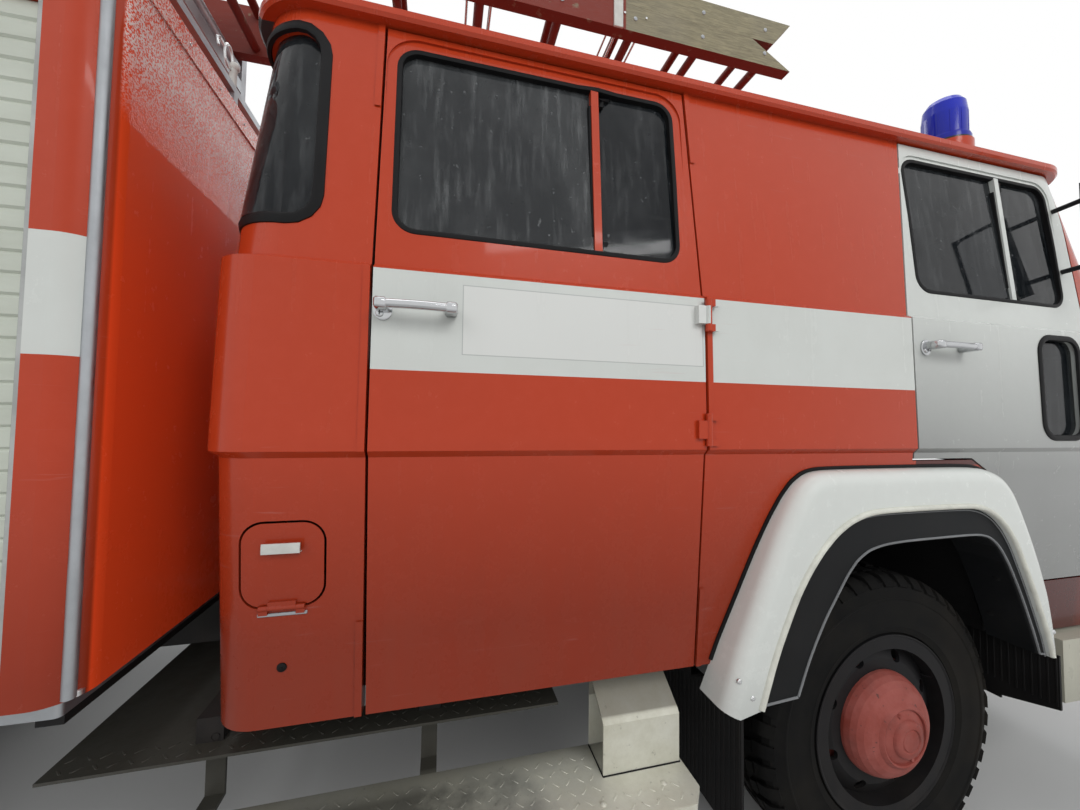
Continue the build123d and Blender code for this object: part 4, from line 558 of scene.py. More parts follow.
def dusty_glass():
    """Dark window glass under a thin film of dust, with wiped streaks and dried drops. The rear door's large pane
    on the right is the dustiest."""
    f = Finish("window_glass", IOR=1.45, Specular_IOR_Level=0.3)
    film = f.ramp(f.noise(3.5, 5, 0.65, (1, 1, 0.6)), 0.45, 0.85)
    wiped = f.ramp(f.noise(9, 3, 0.6, (0.6, 0.6, 2.5), 0.8), 0.55, 0.8)
    runs = f.ramp(f.noise(14, 4, 0.6, (4, 4, 0.16)), 0.5, 0.78)
    drops = f.ramp(f.noise(75, 2, 0.5), 0.7, 0.735)
    dusty = f.x.between(at(REAR_WINDOW[0] - 0.01), at(REAR_WINDOW_BAR)) * f.y.less(-1.0)
    haze = film * 0.3 + wiped * 0.1 + runs * 0.28 + drops * 0.35 + dusty * (film * 0.2 + runs * 0.3 + 0.22)
    base = f.mix(f.ramp(haze, 0, 1), (0.006, 0.008, 0.01), (0.125, 0.13, 0.132))
    return f.wear(
        base, film * 0.1 + wiped * 0.06 + drops * 0.2 + 0.04,
        Alpha=f.ramp(film * 0.08 + runs * 0.1 + drops * 0.2 + 0.76, 0, 1),
    )


def weathered_wood():
    """Grey-yellow ladder wood: red paint on the rungs, on the inner and under faces and on the stiles' rear part."""
    ladder = bpy.context.scene.engine_ladder
    f = Finish("ladder_wood")
    grain = f.noise(16, 6, 0.7, (0.9, 9, 9), 0.7)
    fibres = f.noise(120, 4, 0.6, (0.25, 4, 4))
    wood = f.mix(f.ramp(grain, 0.3, 0.7), (0.295, 0.265, 0.165), (0.135, 0.12, 0.078))
    wood = f.mix(f.ramp(f.noise(1.6, 3), 0.45, 0.7) * 0.5, wood, (0.215, 0.2, 0.16))
    low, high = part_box("ladder_base")
    inner = abs(f.y - (low.y + high.y) / 2).less((high.y - low.y) / 2 - 0.003, 0.002)
    under = f.facing_up().less(-0.5, 0.1)
    painted = f.ramp(inner + under + f.x.less(at(-ladder.sleeve), 0.004), 0, 1)
    wear = f.ramp(f.noise(20, 5, 0.65), 0.6, 0.68)
    red = f.mix(f.ramp(fibres, 0.3, 0.7) * 0.4, (0.15, 0.02, 0.012), (0.215, 0.036, 0.02))
    base = f.mix(painted * (1 - wear * 0.7), wood, red)
    return f.wear(base, f.ramp(fibres, 0.3, 0.7, 0.55, 0.8), None, f.bump(grain * 0.6 + fibres * 0.4, 0.0012, 0.7))


def beacon_finish():
    """The beacon's red socket, its black seat and its blue dome, by height."""
    paint = bpy.context.scene.engine_paint
    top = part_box("beacons")[1].z
    seat, dome = top - 0.206, top - 0.196
    f = Finish("beacon_blue", Specular_IOR_Level=0.35)
    blue = f.mix(f.ramp(f.z, dome, top), (0.003, 0.008, 0.3), (0.006, 0.02, 0.46))
    base = f.mix(f.z.greater(seat), tuple(paint.red), (0.02, 0.02, 0.022))
    base = f.mix(f.z.greater(dome), base, blue)
    return f.wear(base, f.noise(30.0, 3) * 0.1 + 0.08, None, f.bump(f.noise(200.0, 2), 0.0002, 0.3))


def lens_glass(name, colour):
    """Moulded lamp glass with vertical flutes."""
    f = Finish(name, Coat_Weight=1.0, Coat_Roughness=0.03)
    flutes = f.waves("Y", 26, 0.2)
    base = f.mix(flutes * 0.35, colour, shade(colour, 0.55))
    return f.wear(base, flutes * 0.08 + 0.08, None, f.bump(flutes, 0.0012, 0.6))


def seat_cloth():
    """Coarse woven seat cloth."""
    f = Finish("seat_cloth", Sheen_Weight=0.3, Sheen_Roughness=0.5)
    weave = f.waves("Y", 160, 1) * f.waves("X", 160, 1)
    base = f.mix(f.ramp(f.noise(5, 4), 0.35, 0.7), (0.035, 0.036, 0.042), (0.075, 0.074, 0.078))
    return f.wear(base * (weave * 0.6 + 0.6), 0.85, None, f.bump(weave, 0.0009, 0.7))


def make_finishes():
    """Makes every finish and keeps it by name."""
    paint = bpy.context.scene.engine_paint
    red, white, cream = tuple(paint.red), tuple(paint.white), tuple(paint.cream)
    dust = paint.dust
    # Each handle's box in X and Z, and how far out it starts
    rear_handle = (-1.6, -1.398, 1.69, 1.745, 1.1955)
    front_handle = (0.085, 0.29, 1.69, 1.748, 1.1955)
    FINISHES.update(
        cab_red=gloss_paint("cab_red", red, dust, lining="walls", shadow_line=True),
        roof_red=gloss_paint("cab_roof_red", red, dust, lining="ceiling"),
        middle_red=gloss_paint(
            "middle_panel_red", red, dust, band=(REAR_DOOR[1] + 0.019, FRONT_DOOR[0], 1.17), lining="walls",
            shadow_line=True,
        ),
        rear_door=gloss_paint(
            "rear_door_red", red, dust, band=(*REAR_DOOR, 1.17), handle=rear_handle, lining="walls",
            sticker=(-1.391, -0.724, 1.6155, 1.7885, 0.0022),
        ),
        body_red=gloss_paint("box_body_red", red, dust, band=(-5.3, 0.0, 1.204), front_wall_painted_light=True),
        flap_red=gloss_paint("flap_red", red, dust),
        white=gloss_paint("fender_white", shade(white, 1.12), dust * 0.5, painted_shade_below=(0.8, 0.66, 0.25)),
        # The front door gets a stronger painted shade below, as it stands in shade.
        front_door=gloss_paint(
            "front_door_white", white, dust * 0.7, handle=front_handle, lining="walls", painted_shade_below=(1.85, 1.3, 0.8),
        ),
        cream=gloss_paint("bumper_cream", cream, 0.3, painted_shade_below=(0.62, 0.45, 0.25)),
        # Black chassis paint, made darker still as painted shade under the vehicle.
        chassis=dull_paint("chassis_black", (0.012, 0.012, 0.013), 0.28),
        rim=dull_paint("rim_black", (0.007, 0.007, 0.008), 0.12, 0.2, 0.9),
        hub=chipped_hub_red(),
        tyre=tyre_rubber(),
        vinyl=soft_black("flare_vinyl", (0.006, 0.0068, 0.0078), 900.0, 0.07),
        rubber=soft_black("black_rubber", (0.007, 0.007, 0.0075), 500.0, 0.05),
        plastic=soft_black("cab_plastic", (0.024, 0.024, 0.026), 800.0, 0.1),
        cover=soft_black("engine_cover_grey", (0.085, 0.085, 0.088), 350.0, 0.2),
        piping=soft_black("flare_piping", (0.17, 0.175, 0.18), 600.0, 0.1),
        lip=dull_paint("fender_lip_cream", (0.56, 0.56, 0.5), 0.15),
        aluminium=bare_metal("dull_aluminium", (0.42, 0.44, 0.46), 0.38, (1, 1, 8)),
        bright=bare_metal("bright_metal", (0.7, 0.71, 0.71), 0.2, (8, 1, 1), 0.15),
        chrome=bare_metal("handle_chrome", CHROME, 0.07, (1, 1, 1), 0.08),
        mirror=bare_metal("mirror_silver", (0.85, 0.86, 0.87), 0.02, (1, 1, 1), 0.02),
        plate=step_plate(),
        slats=slat_paint(),
        glass=dusty_glass(),
        wood=weathered_wood(),
        beacon=beacon_finish(),
        clear_lens=lens_glass("headlamp_glass", (0.62, 0.64, 0.65)),
        amber_lens=lens_glass("indicator_amber", (0.8, 0.22, 0.02)),
        red_lens=lens_glass("tail_lamp_red", (0.42, 0.012, 0.01)),
        cloth=seat_cloth(),
        bracket=dull_paint("bracket_white", (0.5, 0.5, 0.47), 0.2),
        guide=bare_metal("shutter_guide", (0.42, 0.43, 0.42), 0.45, (1, 1, 8), 0.5, 0.6),
        sleeve=dull_paint("sleeve_red", (0.24, 0.032, 0.018), 0.2, 0.2, 0.9),
        dial=dull_paint("dial_white", (0.55, 0.55, 0.52), 0.1),
    )


NODE_FINISHES = (
    ("cab_red", "cab_rear cab_front"),
    ("roof_red", "cab_roof"),
    ("middle_red", "cab_middle_panels"),
    ("rear_door", "door_rear_right door_rear_left"),
    ("front_door", "door_front_right door_front_left"),
    ("flap_red", "hatch"),
    ("body_red", "body_end_walls body_sides body_roof"),
    ("white", "fenders"),
    ("cream", "bumper"),
    ("chassis", "chassis_frame front_axle rear_axle knuckle_right knuckle_left leaf_springs driveline engine_block"),
    ("chassis", "fuel_tank cab_floor"),
    ("rim", "rim_front_right rim_front_left rims_rear_right rims_rear_left"),
    ("hub", "hub_front_right hub_front_left hub_rear_right hub_rear_left"),
    ("tyre", "tyre_front_right tyre_front_left tyres_rear_right tyres_rear_left"),
    ("vinyl", "fender_flares"),
    ("rubber", "arch_liners"),
    ("plate", "footboards"),
    ("aluminium", "corner_strips roof_rack body_floor"),
    ("slats", "roller_shutters"),
    ("plastic", "dashboard steering_wheel mirrors_right mirrors_left grille"),
    ("cover", "engine_cover"),
    ("cloth", "seats"),
    ("glass", "cab_glass glass_front_right glass_front_left glass_rear_right glass_rear_left"),
    ("clear_lens", "headlamps"),
    ("red_lens", "tail_lamps"),
    ("beacon", "beacons"),
    ("wood", "ladder_base ladder_fly"),
)


# Building meshes

class Skin:
    """The outside of some CAD nodes, for trim to lie on."""

    def __init__(self, *names):
        vertices, faces = [], []
        for name in names:
            mesh = frame["nodes"][name].data
            start = len(vertices)
            vertices += [v.co.copy() for v in mesh.vertices]
            faces += [[start + i for i in polygon.vertices] for polygon in mesh.polygons]
        self.tree = BVHTree.FromPolygons(vertices, faces)

    def hit(self, start, towards):
        """The first point that a line from start meets, and the outward direction there."""
        towards = Vector(towards).normalized()
        place, normal, _, _ = self.tree.ray_cast(Vector(start), towards)
        if place is None:
            place, normal, _, _ = self.tree.find_nearest(Vector(start) + towards * 1.8)
        return place, (normal if normal.dot(towards) < 0 else -normal)

    def beside(self, x, z, side):
        return self.hit((x, 3 * side, z), (0, -side, 0))

    def from_ahead(self, y, z):
        """The point that is first seen from ahead of the vehicle."""
        return self.hit((at(3), y, z), BACK)[0]


class Form:
    """The vertices and faces of one piece while it is put together."""

    def __init__(self):
        self.vertices = []
        self.faces = []

    def add(self, vertices, faces):
        start = len(self.vertices)
        self.vertices += [Vector(v) for v in vertices]
        self.faces += [tuple(start + i for i in face) for face in faces]

    def loft(self, rings, closed_ring=True, closed_path=False, caps=True):
        """Skins rings of as many points each, one after the other."""
        count = len(rings[0])
        faces = []
        for i in range(len(rings) if closed_path else len(rings) - 1):
            a, b = i * count, ((i + 1) % len(rings)) * count
            for j in range(count if closed_ring else count - 1):
                k = (j + 1) % count
                faces.append((a + j, a + k, b + k, b + j))
        if caps and not closed_path:
            last = (len(rings) - 1) * count
            faces += [tuple(range(count)), tuple(range(last, last + count))]
        self.add([p for ring in rings for p in ring], faces)

    def sweep(self, path, section, closed=False):
        """Carries a section along a path of (point, outward) pairs. The section's points are (across, out)."""
        rings = []
        points = [Vector(p) for p, _ in path]
        for i, (point, outward) in enumerate(path):
            after = points[(i + 1) % len(points)] if closed or i + 1 < len(points) else points[i]
            before = points[i - 1] if closed or i > 0 else points[i]
            along = (after - before).normalized()
            across = along.cross(Vector(outward)).normalized()
            out = across.cross(along).normalized()
            rings.append([Vector(point) + across * a + out * o for a, o in section])
        self.loft(rings, closed_path=closed)

    def rail(self, points, outward, section):
        """A straight or bent bar of one section, whose outward direction is the same all along."""
        self.sweep([(p, outward) for p in points], section)

    def tube(self, points, radius, sides=10, closed=False):
        """A round bar through points."""
        points = [Vector(p) for p in points]
        upright = abs((points[1] - points[0]).normalized().z) >= 0.9
        section = [(radius * c, radius * s) for c, s in circle(sides)]
        self.sweep([(p, AHEAD if upright else UP) for p in points], section, closed)

    def turn(self, profile, centre, axis, count=48):
        """Turns a profile of (radius, distance along the axis) about an axis through centre."""
        axis = Vector(axis).normalized()
        u = axis.orthogonal().normalized()
        v = axis.cross(u)
        spokes = [u * c + v * s for c, s in circle(count)]
        rings = [[Vector(centre) + spoke * r + axis * d for r, d in profile] for spoke in spokes]
        self.loft(rings, closed_ring=False, closed_path=True)

    def block(self, low, high, edge=0.002, turn=None):
        """A box between two corners, with its edges broken by edge."""
        centre = (Vector(low) + Vector(high)) / 2
        half = [abs(b - a) / 2 for a, b in zip(low, high)]
        edge = min(edge, *(h * 0.9 for h in half))
        signs = list(product((-1, 1), repeat=3))
        index, vertices = {}, []
        for sign in signs:
            for full in range(3):
                point = Vector([s * (h if axis == full else h - edge) for axis, (s, h) in enumerate(zip(sign, half))])
                index[(full, sign)] = len(vertices)
                vertices.append(centre + (turn @ point if turn else point))

        def corner(side, axes, signs_there):
            """The vertex on the side across one axis, at the corner with these signs along these axes."""
            return index[(side, tuple(sign for _, sign in sorted(zip(axes, signs_there))))]

        faces = []
        for full in range(3):
            j, k = [axis for axis in range(3) if axis != full]
            axes = (full, j, k)
            for s in (-1, 1):
                faces.append([corner(full, axes, (s, *way)) for way in ((1, 1), (-1, 1), (-1, -1), (1, -1))])
            for way in product((-1, 1), repeat=2):
                faces.append([corner(side, axes, (s, *way)) for side, s in ((j, -1), (j, 1), (k, 1), (k, -1))])
        faces += [[index[(full, sign)] for full in range(3)] for sign in signs]
        self.add(vertices, faces)

    def mirrored(self):
        """The same form on the vehicle's other side."""
        other = Form()
        other.add([(v.x, -v.y, v.z) for v in self.vertices], self.faces)
        return other

    def piece(self, name, finish, body="vehicle", replaces=(), slot=None, sharp=38):
        """Makes the form an object that rides on a body."""
        mesh = bpy.data.meshes.new(name)
        mesh.from_pydata(self.vertices, [], self.faces)
        work = bmesh.new()
        work.from_mesh(mesh)
        bmesh.ops.remove_doubles(work, verts=work.verts, dist=0.00001)
        bmesh.ops.recalc_face_normals(work, faces=work.faces)
        work.to_mesh(mesh)
        work.free()
        mesh.shade_smooth()
        mesh.set_sharp_from_angle(angle=math.radians(sharp))
        mesh.materials.append(FINISHES[finish])
        return place_piece(name, mesh, body, replaces)


def place_piece(name, mesh, body, replaces=()):
    """Puts a mesh into the scene as an object that rides on a body."""
    made = bpy.data.objects.new(name, mesh)
    bpy.context.scene.collection.objects.link(made)
    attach(made, body)
    if replaces:
        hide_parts(*replaces)
    return made


def both(form, name, finish):
    """A right-hand form and its mirror image, on the vehicle itself."""
    form.piece(f"{name}_right", finish)
    form.mirrored().piece(f"{name}_left", finish)


def circle(count, shift=0):
    """The cosines and sines of equal steps round a circle, shift steps on."""
    angles = [2 * math.pi * (i + shift) / count for i in range(count)]
    return [(math.cos(a), math.sin(a)) for a in angles]


def strip(half, height, foot=-0.001):
    """The section of a flat strip: half its width, its height, and how deep its foot is sunk."""
    return [(-half, foot), (-half, height), (half, height), (half, foot)]


def round_section(width, height, sides=10):
    """A half-round section, width across and height out, with its foot sunk into what it lies on."""
    half = width / 2
    arc = [(half * math.cos(math.pi * i / sides), height * math.sin(math.pi * i / sides)) for i in range(sides + 1)]
    return [*arc, (-half, -height * 0.3), (half, -height * 0.3)]


def rounded_rectangle(x0, x1, z0, z1, radius, steps=7):
    """Points round a rectangle with round corners, in X and Z."""
    low_x, high_x, low_z, high_z = x0 + radius, x1 - radius, z0 + radius, z1 - radius
    points = []
    for quarter, (cx, cz) in enumerate(((high_x, high_z), (low_x, high_z), (low_x, low_z), (high_x, low_z))):
        for i in range(steps + 1):
            a = math.radians(90 * quarter + 90 * i / steps)
            points.append((cx + radius * math.cos(a), cz + radius * math.sin(a)))
    longest_step = 0.06
    dense = []
    for a, b in zip(points, points[1:] + points[:1]):
        parts = max(1, int(math.hypot(b[0] - a[0], b[1] - a[1]) / longest_step))
        dense += [between(a, b, t / parts) for t in range(parts)]
    return dense


def between(a, b, t):
    """The point at t of the way from a to b."""
    return tuple(p + (q - p) * t for p, q in zip(a, b))


def softened_line(points, pull):
    """An open line whose corners are cut twice, so that it runs smoothly."""
    for _ in range(2):
        out = [points[0]]
        for a, b in zip(points, points[1:]):
            out += [between(a, b, pull), between(a, b, 1 - pull)]
        points = out + [points[-1]]
    return points


def shifted_line(points, distance):
    """An open line of (x, z) points moved sideways."""
    out = []
    for i, (x, z) in enumerate(points):
        a = points[max(i - 1, 0)]
        b = points[min(i + 1, len(points) - 1)]
        length = math.hypot(b[0] - a[0], b[1] - a[1])
        out.append((x - (b[1] - a[1]) / length * distance, z + (b[0] - a[0]) / length * distance))
    return out


# Pieces, each made by its own operator

def wheel_tyre(form, y_centre, settings):
    """A cross-ply tyre about an axle along Y: carcass, shoulder lugs, centre blocks and sidewall ribs."""
    radius, half = WHEEL_RADIUS, TYRE_WIDTH / 2
    base = radius - settings.groove_depth
    centre = Vector((0, y_centre, 0))
    sidewall = [
        (0.2545, 0.0955), (0.292, 0.0957), (0.298, 0.105), (0.312, half - 0.004), (0.318, half - 0.0015),
        (0.324, half - 0.004), (0.36, half - 0.0006), (0.385, half), (0.404, half - 0.0012), (0.408, half + 0.0012),
        (0.413, half + 0.0012), (0.417, half - 0.002), (0.436, half - 0.0075), (base - 0.012, half - 0.016),
        (base, half - 0.034),
    ]
    profile = [(r, -d) for r, d in sidewall] + [(base + 0.001, 0)] + sidewall[::-1]
    form.turn([*profile, profile[0]], centre, (0, 1, 0), 96)
    step = 2 * math.pi / settings.shoulder_lugs
    # Each lug's corners: radius, distance out from the tyre's middle, and lead in steps
    shoulder = (
        (base - 0.004, half - 0.06, 0), (radius, half - 0.06, 0), (radius, half - 0.04, -0.1),
        (radius - 0.004, half - 0.028, -0.12), (radius - 0.016, half - 0.0165, -0.12), (0.448, half - 0.0045, -0.12),
        (0.44, half - 0.012, -0.12), (base - 0.02, half - 0.03, 0),
    )
    centre_block = (
        (base - 0.004, 0.01, 0.1), (radius, 0.011, 0.1), (radius, 0.026, 0), (radius, 0.044, -0.16),
        (base - 0.004, 0.045, -0.16),
    )
    for i in range(settings.shoulder_lugs):
        for s in (-1, 1):
            start = step * (i + (0.5 if s > 0 else 0))
            for corners, first, last in ((shoulder, 0, 0.62), (centre_block, 0.3, 0.88)):
                form.loft([
                    [
                        centre + Vector((r * math.cos(a + lead * step), s * d, r * math.sin(a + lead * step)))
                        for r, d, lead in corners
                    ]
                    for a in (start + step * first, start + step * last)
                ])


class FIRE_OT_paint(bpy.types.Operator):
    """Make every finish and give each node of the frame its own"""

    bl_idname = "fire_engine.paint"
    bl_label = "Paint"

    def execute(self, context):
        make_finishes()
        for finish, names in NODE_FINISHES:
            for name in names.split():
                node = frame["nodes"][name]
                if not node.material_slots:
                    node.data.materials.append(FINISHES[finish])
                for material_slot in node.material_slots:
                    material_slot.material = FINISHES[finish]
        return {"FINISHED"}


class FIRE_OT_tyres(bpy.types.Operator):
    """Fit the six treaded tyres"""

    bl_idname = "fire_engine.tyres"
    bl_label = "Tyres"

    def execute(self, context):
        for row, places in (("tyre_front", (0,)), ("tyres_rear", (-TWIN_STEP / 2, TWIN_STEP / 2))):
            form = Form()
            for y in places:
                wheel_tyre(form, y, context.scene.engine_wheels)
            mesh = None
            for side, _ in SIDES:
                node = f"{row}_{side}"
                name, body = f"treaded_{node}", frame["nodes"][node]["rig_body"]
                if mesh:
                    made = place_piece(name, mesh, body, [node])
                else:
                    made = form.piece(name, "tyre", body, [node], "tyre", 30)
                mesh = made.data
                made.matrix_world = Matrix.Translation(middle(node))
        return {"FINISHED"}


class FIRE_OT_wheel_fittings(bpy.types.Operator):
    """Add the lock rings, valves, wheel nuts and the cast rings of the hubs"""

    bl_idname = "fire_engine.wheel_fittings"
    bl_label = "Wheel fittings"

    def execute(self, context):
        for side, s in SIDES:
            body = f"wheel_f{side[0]}"
            out = Vector((0, s, 0))
            face = Vector((AXLE_X, s * widest(f"hub_front_{side}"), WHEEL_RADIUS))
            cap = Form()
            boss = [
                (0, 0.0085), (0.03, 0.008), (0.0335, 0.005), (0.037, 0.0088), (0.05, 0.0078), (0.0565, 0.003),
                (0.06, -0.006),
            ]
            cap.turn(boss, face, out, 64)
            edge = [(0.082, -0.018), (0.0845, -0.008), (0.089, -0.0065), (0.095, -0.0105), (0.101, -0.018)]
            cap.turn(edge, face, out, 72)
            for angle in (108, 288):
                a = math.radians(angle)
                bolt = face + Vector((0.0715 * math.cos(a), -s * 0.01, 0.0715 * math.sin(a)))
                cap.turn([(0, 0.0055), (0.0055, 0.0055), (0.0075, 0.002), (0.0075, -0.004)], bolt, out, 6)
            cap.piece(f"hub_cap_rings_{side}", "hub", body)
            rim = Vector((AXLE_X, s * widest(f"rim_front_{side}"), WHEEL_RADIUS))
            ring = Form()
            lock_ring = [
                (0.2865, -0.004), (0.2905, -0.001), (0.2915, 0.0015), (0.2885, 0.003), (0.2835, 0.0005),
                (0.282, -0.004),
            ]
            ring.turn(lock_ring, rim, out, 96)
            valve_angle = math.radians(28)
            spoke = Vector((math.cos(valve_angle), 0, math.sin(valve_angle)))
            valve = rim - out * 0.07 + spoke * 0.236
            ring.tube([valve, valve + out * 0.03 + spoke * 0.003, valve + out * 0.052 + spoke * 0.012], 0.0042, 8)
            weight, half = rim - out * 0.01 + spoke * 0.264, Vector((0.006, 0.006, 0.018))
            ring.block(weight - half, weight + half)
            ring.piece(f"lock_ring_{side}", "rim", body)
            nuts = Form()
            for c, sine in circle(10):
                place = Vector((REAR_WHEELS.x + 0.142 * c, s * 1.0215, WHEEL_RADIUS + 0.142 * sine))
                nuts.turn([(0, 0.022), (0.01, 0.021), (0.0165, 0.016), (0.0165, -0.006)], place, out, 6)
            nuts.piece(f"rear_wheel_nuts_{side}", "rim", f"wheels_r{side[0]}", sharp=20)
        return {"FINISHED"}


SEAL_GROWTH = 0.001


def gasket_path(skin, window, side):
    """Round a window on a door's skin, just outside its opening."""
    x0, x1, z0, z1, radius = window
    outline = rounded_rectangle(
        at(x0) - SEAL_GROWTH, at(x1) + SEAL_GROWTH, z0 - SEAL_GROWTH, z1 + SEAL_GROWTH, radius + SEAL_GROWTH
    )
    return [skin.beside(x, z, side) for x, z in outline[::-side]]


def corner_window_path(skin, side):
    """Round the corner window: along the side, round the corner post and on to the back."""
    front_x, inner_y = at(-1.735) + SEAL_GROWTH, 0.93 - SEAL_GROWTH
    z0, z1, radius = 1.922 - SEAL_GROWTH, 2.408 + SEAL_GROWTH, 0.06 + SEAL_GROWTH
    post_x, post_y = at(-1.8), 1.03
    turn_starts, turn_ends = 0.35, 0.7

    def on_wall(t, z):
        """The wall's point at t: 0 on the side at the front edge, 1 on the back at the inner edge."""
        if t < turn_starts:
            return skin.beside(front_x - (front_x - post_x) * t / turn_starts, z, side)
        if t < turn_ends:
            a = math.pi / 2 * (t - turn_starts) / (turn_ends - turn_starts)
            way = Vector((-math.sin(a), side * math.cos(a), 0))
            return skin.hit(Vector((post_x, side * post_y, z)) + way * 0.6, -way)
        y = post_y - (post_y - inner_y) * (t - turn_ends) / (1 - turn_ends)
        return skin.hit((at(-3), side * y, z), AHEAD)

    steps = 26
    span = (front_x - post_x) / turn_starts
    edges = []
    for z, up in ((z0, 1), (z1, -1)):
        edge = []
        for degrees in (0, 22, 45, 68, 90):
            a = math.radians(degrees)
            edge.append(on_wall(radius * (1 - math.cos(a)) / span, z + up * radius * (1 - math.sin(a))))
        edge += [on_wall(radius / span + (1 - radius / span) * i / steps, z) for i in range(1, steps + 1)]
        edges.append(edge)
    low, high = edges
    inner = [on_wall(1, z0 + (z1 - z0) * i / 8) for i in range(1, 8)]
    front = [on_wall(0, z1 - radius - (z1 - z0 - 2 * radius) * i / 8) for i in range(1, 8)]
    return (low + inner + high[::-1] + front)[::side]


class FIRE_OT_window_seals(bpy.types.Operator):
    """Fit the black rubbers round every window and the sliding panes' frames"""

    bl_idname = "fire_engine.window_seals"
    bl_label = "Window rubbers"

    def execute(self, context):
        width = context.scene.engine_trim.gasket
        # The rubbers' sections: thin round a door's window, thick round the kerb window, broad round the corner
        thin = [
            (-0.002, -0.016), (-0.002, 0.0015), (0.003, 0.0035), (width * 0.7, 0.002), (width, -0.006), (width, -0.016)
        ]
        slider = [(0.004, -0.017), (0.006, -0.006), (0.012, -0.004), (0.026, -0.006), (0.028, -0.017)]
        thick = [(-0.01, -0.002), (-0.008, 0.004), (0.002, 0.006), (0.011, 0.003), (0.013, -0.016)]
        broad = [(-0.006, -0.004), (-0.004, 0.004), (0.004, 0.007), (0.02, 0.003), (0.024, -0.016)]
        screen = [(-0.016, -0.004), (-0.014, 0.004), (0, 0.008), (0.016, 0.004), (0.02, -0.018)]
        rear_pane = (REAR_WINDOW_BAR + WINDOW_BAR / 2, *REAR_WINDOW[1:])
        front_pane = (FRONT_WINDOW_BAR + WINDOW_BAR / 2, *FRONT_WINDOW[1:])
        for side, s in SIDES:
            for row, name, windows in (
                ("rear", "rear_window_rubber", ((REAR_WINDOW, thin),)),
                ("rear", "rear_sliding_frame", ((rear_pane, slider),)),
                ("front", "front_window_rubber", ((FRONT_WINDOW, thin), (KERB_WINDOW, thick), (front_pane, slider))),
            ):
                seal, door = Form(), Skin(f"door_{row}_{side}")
                for window, section in windows:
                    seal.sweep(gasket_path(door, window, s), section, True)
                seal.piece(f"{name}_{side}", "rubber", f"door_{row[0]}{side[0]}")
            seal = Form()
            seal.sweep(corner_window_path(Skin("cab_rear"), s), broad, True)
            seal.piece(f"corner_window_rubber_{side}", "rubber")
        face = Skin("cab_front")
        outline = rounded_rectangle(-1.011, 1.011, BELT_Z + 0.039, GUTTER_Z - 0.064, 0.071)
        seal = Form()
        seal.sweep([face.hit((at(3), y, z), BACK) for y, z in outline], screen, True)
        seal.piece("windscreen_rubber", "rubber")
        return {"FINISHED"}


class FIRE_OT_door_furniture(bpy.types.Operator):
    """Fit chromed pull handles with their locks"""

    bl_idname = "fire_engine.door_furniture"
    bl_label = "Door handles"

    def execute(self, context):
        for row, x0, x1, z in (("rear", -1.585, -1.406, 1.717), ("front", 0.1, 0.284, 1.72)):
            for side, s in SIDES:
                body = f"door_{row[0]}{side[0]}"
                y = s * 1.192
                out = Vector((0, s, 0))
                grip = []
                for t in (i / 12 for i in range(13)):
                    bow = 0.044 + 0.005 * math.sin(math.pi * t)
                    grip.append((at(x0 + 0.01 + (x1 - x0 - 0.02) * t), y + s * bow, z))
                form = Form()
                form.rail(grip, out, [(0.0105 * c, 0.009 * sine) for c, sine in circle(14)])
                for foot in (x0 - 0.002, x1 - 0.026):
                    near, far = sorted((y - s * 0.002, y + s * 0.055))
                    form.block((at(foot), near, z - 0.0125), (at(foot + 0.028), far, z + 0.0125), 0.0045)
                form.piece(f"pull_handle_{row}_{side}", "chrome", body, sharp=50)
                lock = Form()
                centre = Vector((at(x0 + 0.012), y, z - 0.004))
                plate = [centre + Vector((0.0215 * c, 0, 0.026 * sine)) for c, sine in circle(28)]
                levels = ((-0.002, 0), (0.005, 0), (0.0068, -0.12))
                lock.loft([[p + out * height + (p - centre) * grow for p in plate] for height, grow in levels])
                barrel = centre + Vector((-0.006, 0, -0.011))
                lock.turn([(0, 0.0125), (0.007, 0.0125), (0.0085, 0.011), (0.0085, 0), (0, 0)], barrel, out, 20)
                lock.piece(f"lock_{row}_{side}", "chrome", body, sharp=50)
                slot = Form()
                mouth, half = barrel + out * 0.0127, Vector((0.0012, 0.001, 0.0042))
                slot.block(mouth - half, mouth + half, 0.0004)
                slot.piece(f"key_slot_{row}_{side}", "rubber", body)
        return {"FINISHED"}


class FIRE_OT_filler_flap(bpy.types.Operator):
    """Dress the filler flap: its lip, its hinge plate and the plug under it"""

    bl_idname = "fire_engine.filler_flap"
    bl_label = "Filler flap"

    def execute(self, context):
        low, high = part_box("hatch")
        centre_x = (low.x + high.x) / 2
        skin = Skin("cab_rear")
        lip = Form()
        hook = [
            (-0.015, -0.001), (-0.015, 0.0018), (0.002, 0.0022), (0.0075, 0.001), (0.008, -0.012), (0.006, -0.014),
            (0.005, -0.0025), (-0.013, -0.0025),
        ]
        lip.rail([(centre_x - 0.038 + 0.076 * i / 8, low.y - 0.0003, 1.1695) for i in range(9)], RIGHT, hook)
        lip.piece("flap_lip", "bracket", "flap", sharp=50)
        leaf = Form()
        place, _ = skin.beside(centre_x, 1.0215, -1)
        leaf.block(place + Vector((-0.05, -0.0025, -0.0035)), place + Vector((0.05, 0.0015, 0.0045)), 0.0012)
        leaf.piece("flap_hinge_leaf", "aluminium")
        place, outward = skin.beside(at(-1.771), 0.9, -1)
        plug = Form()
        plug.turn([(0, 0.0055), (0.006, 0.005), (0.0095, 0.003), (0.0105, 0), (0.0105, -0.003)], place, outward, 24)
        plug.turn([(0, 0.0075), (0.0022, 0.007), (0.003, 0.0045)], place + Vector((0.001, 0, 0.001)), outward, 10)
        plug.piece("body_plug", "rubber")
        return {"FINISHED"}


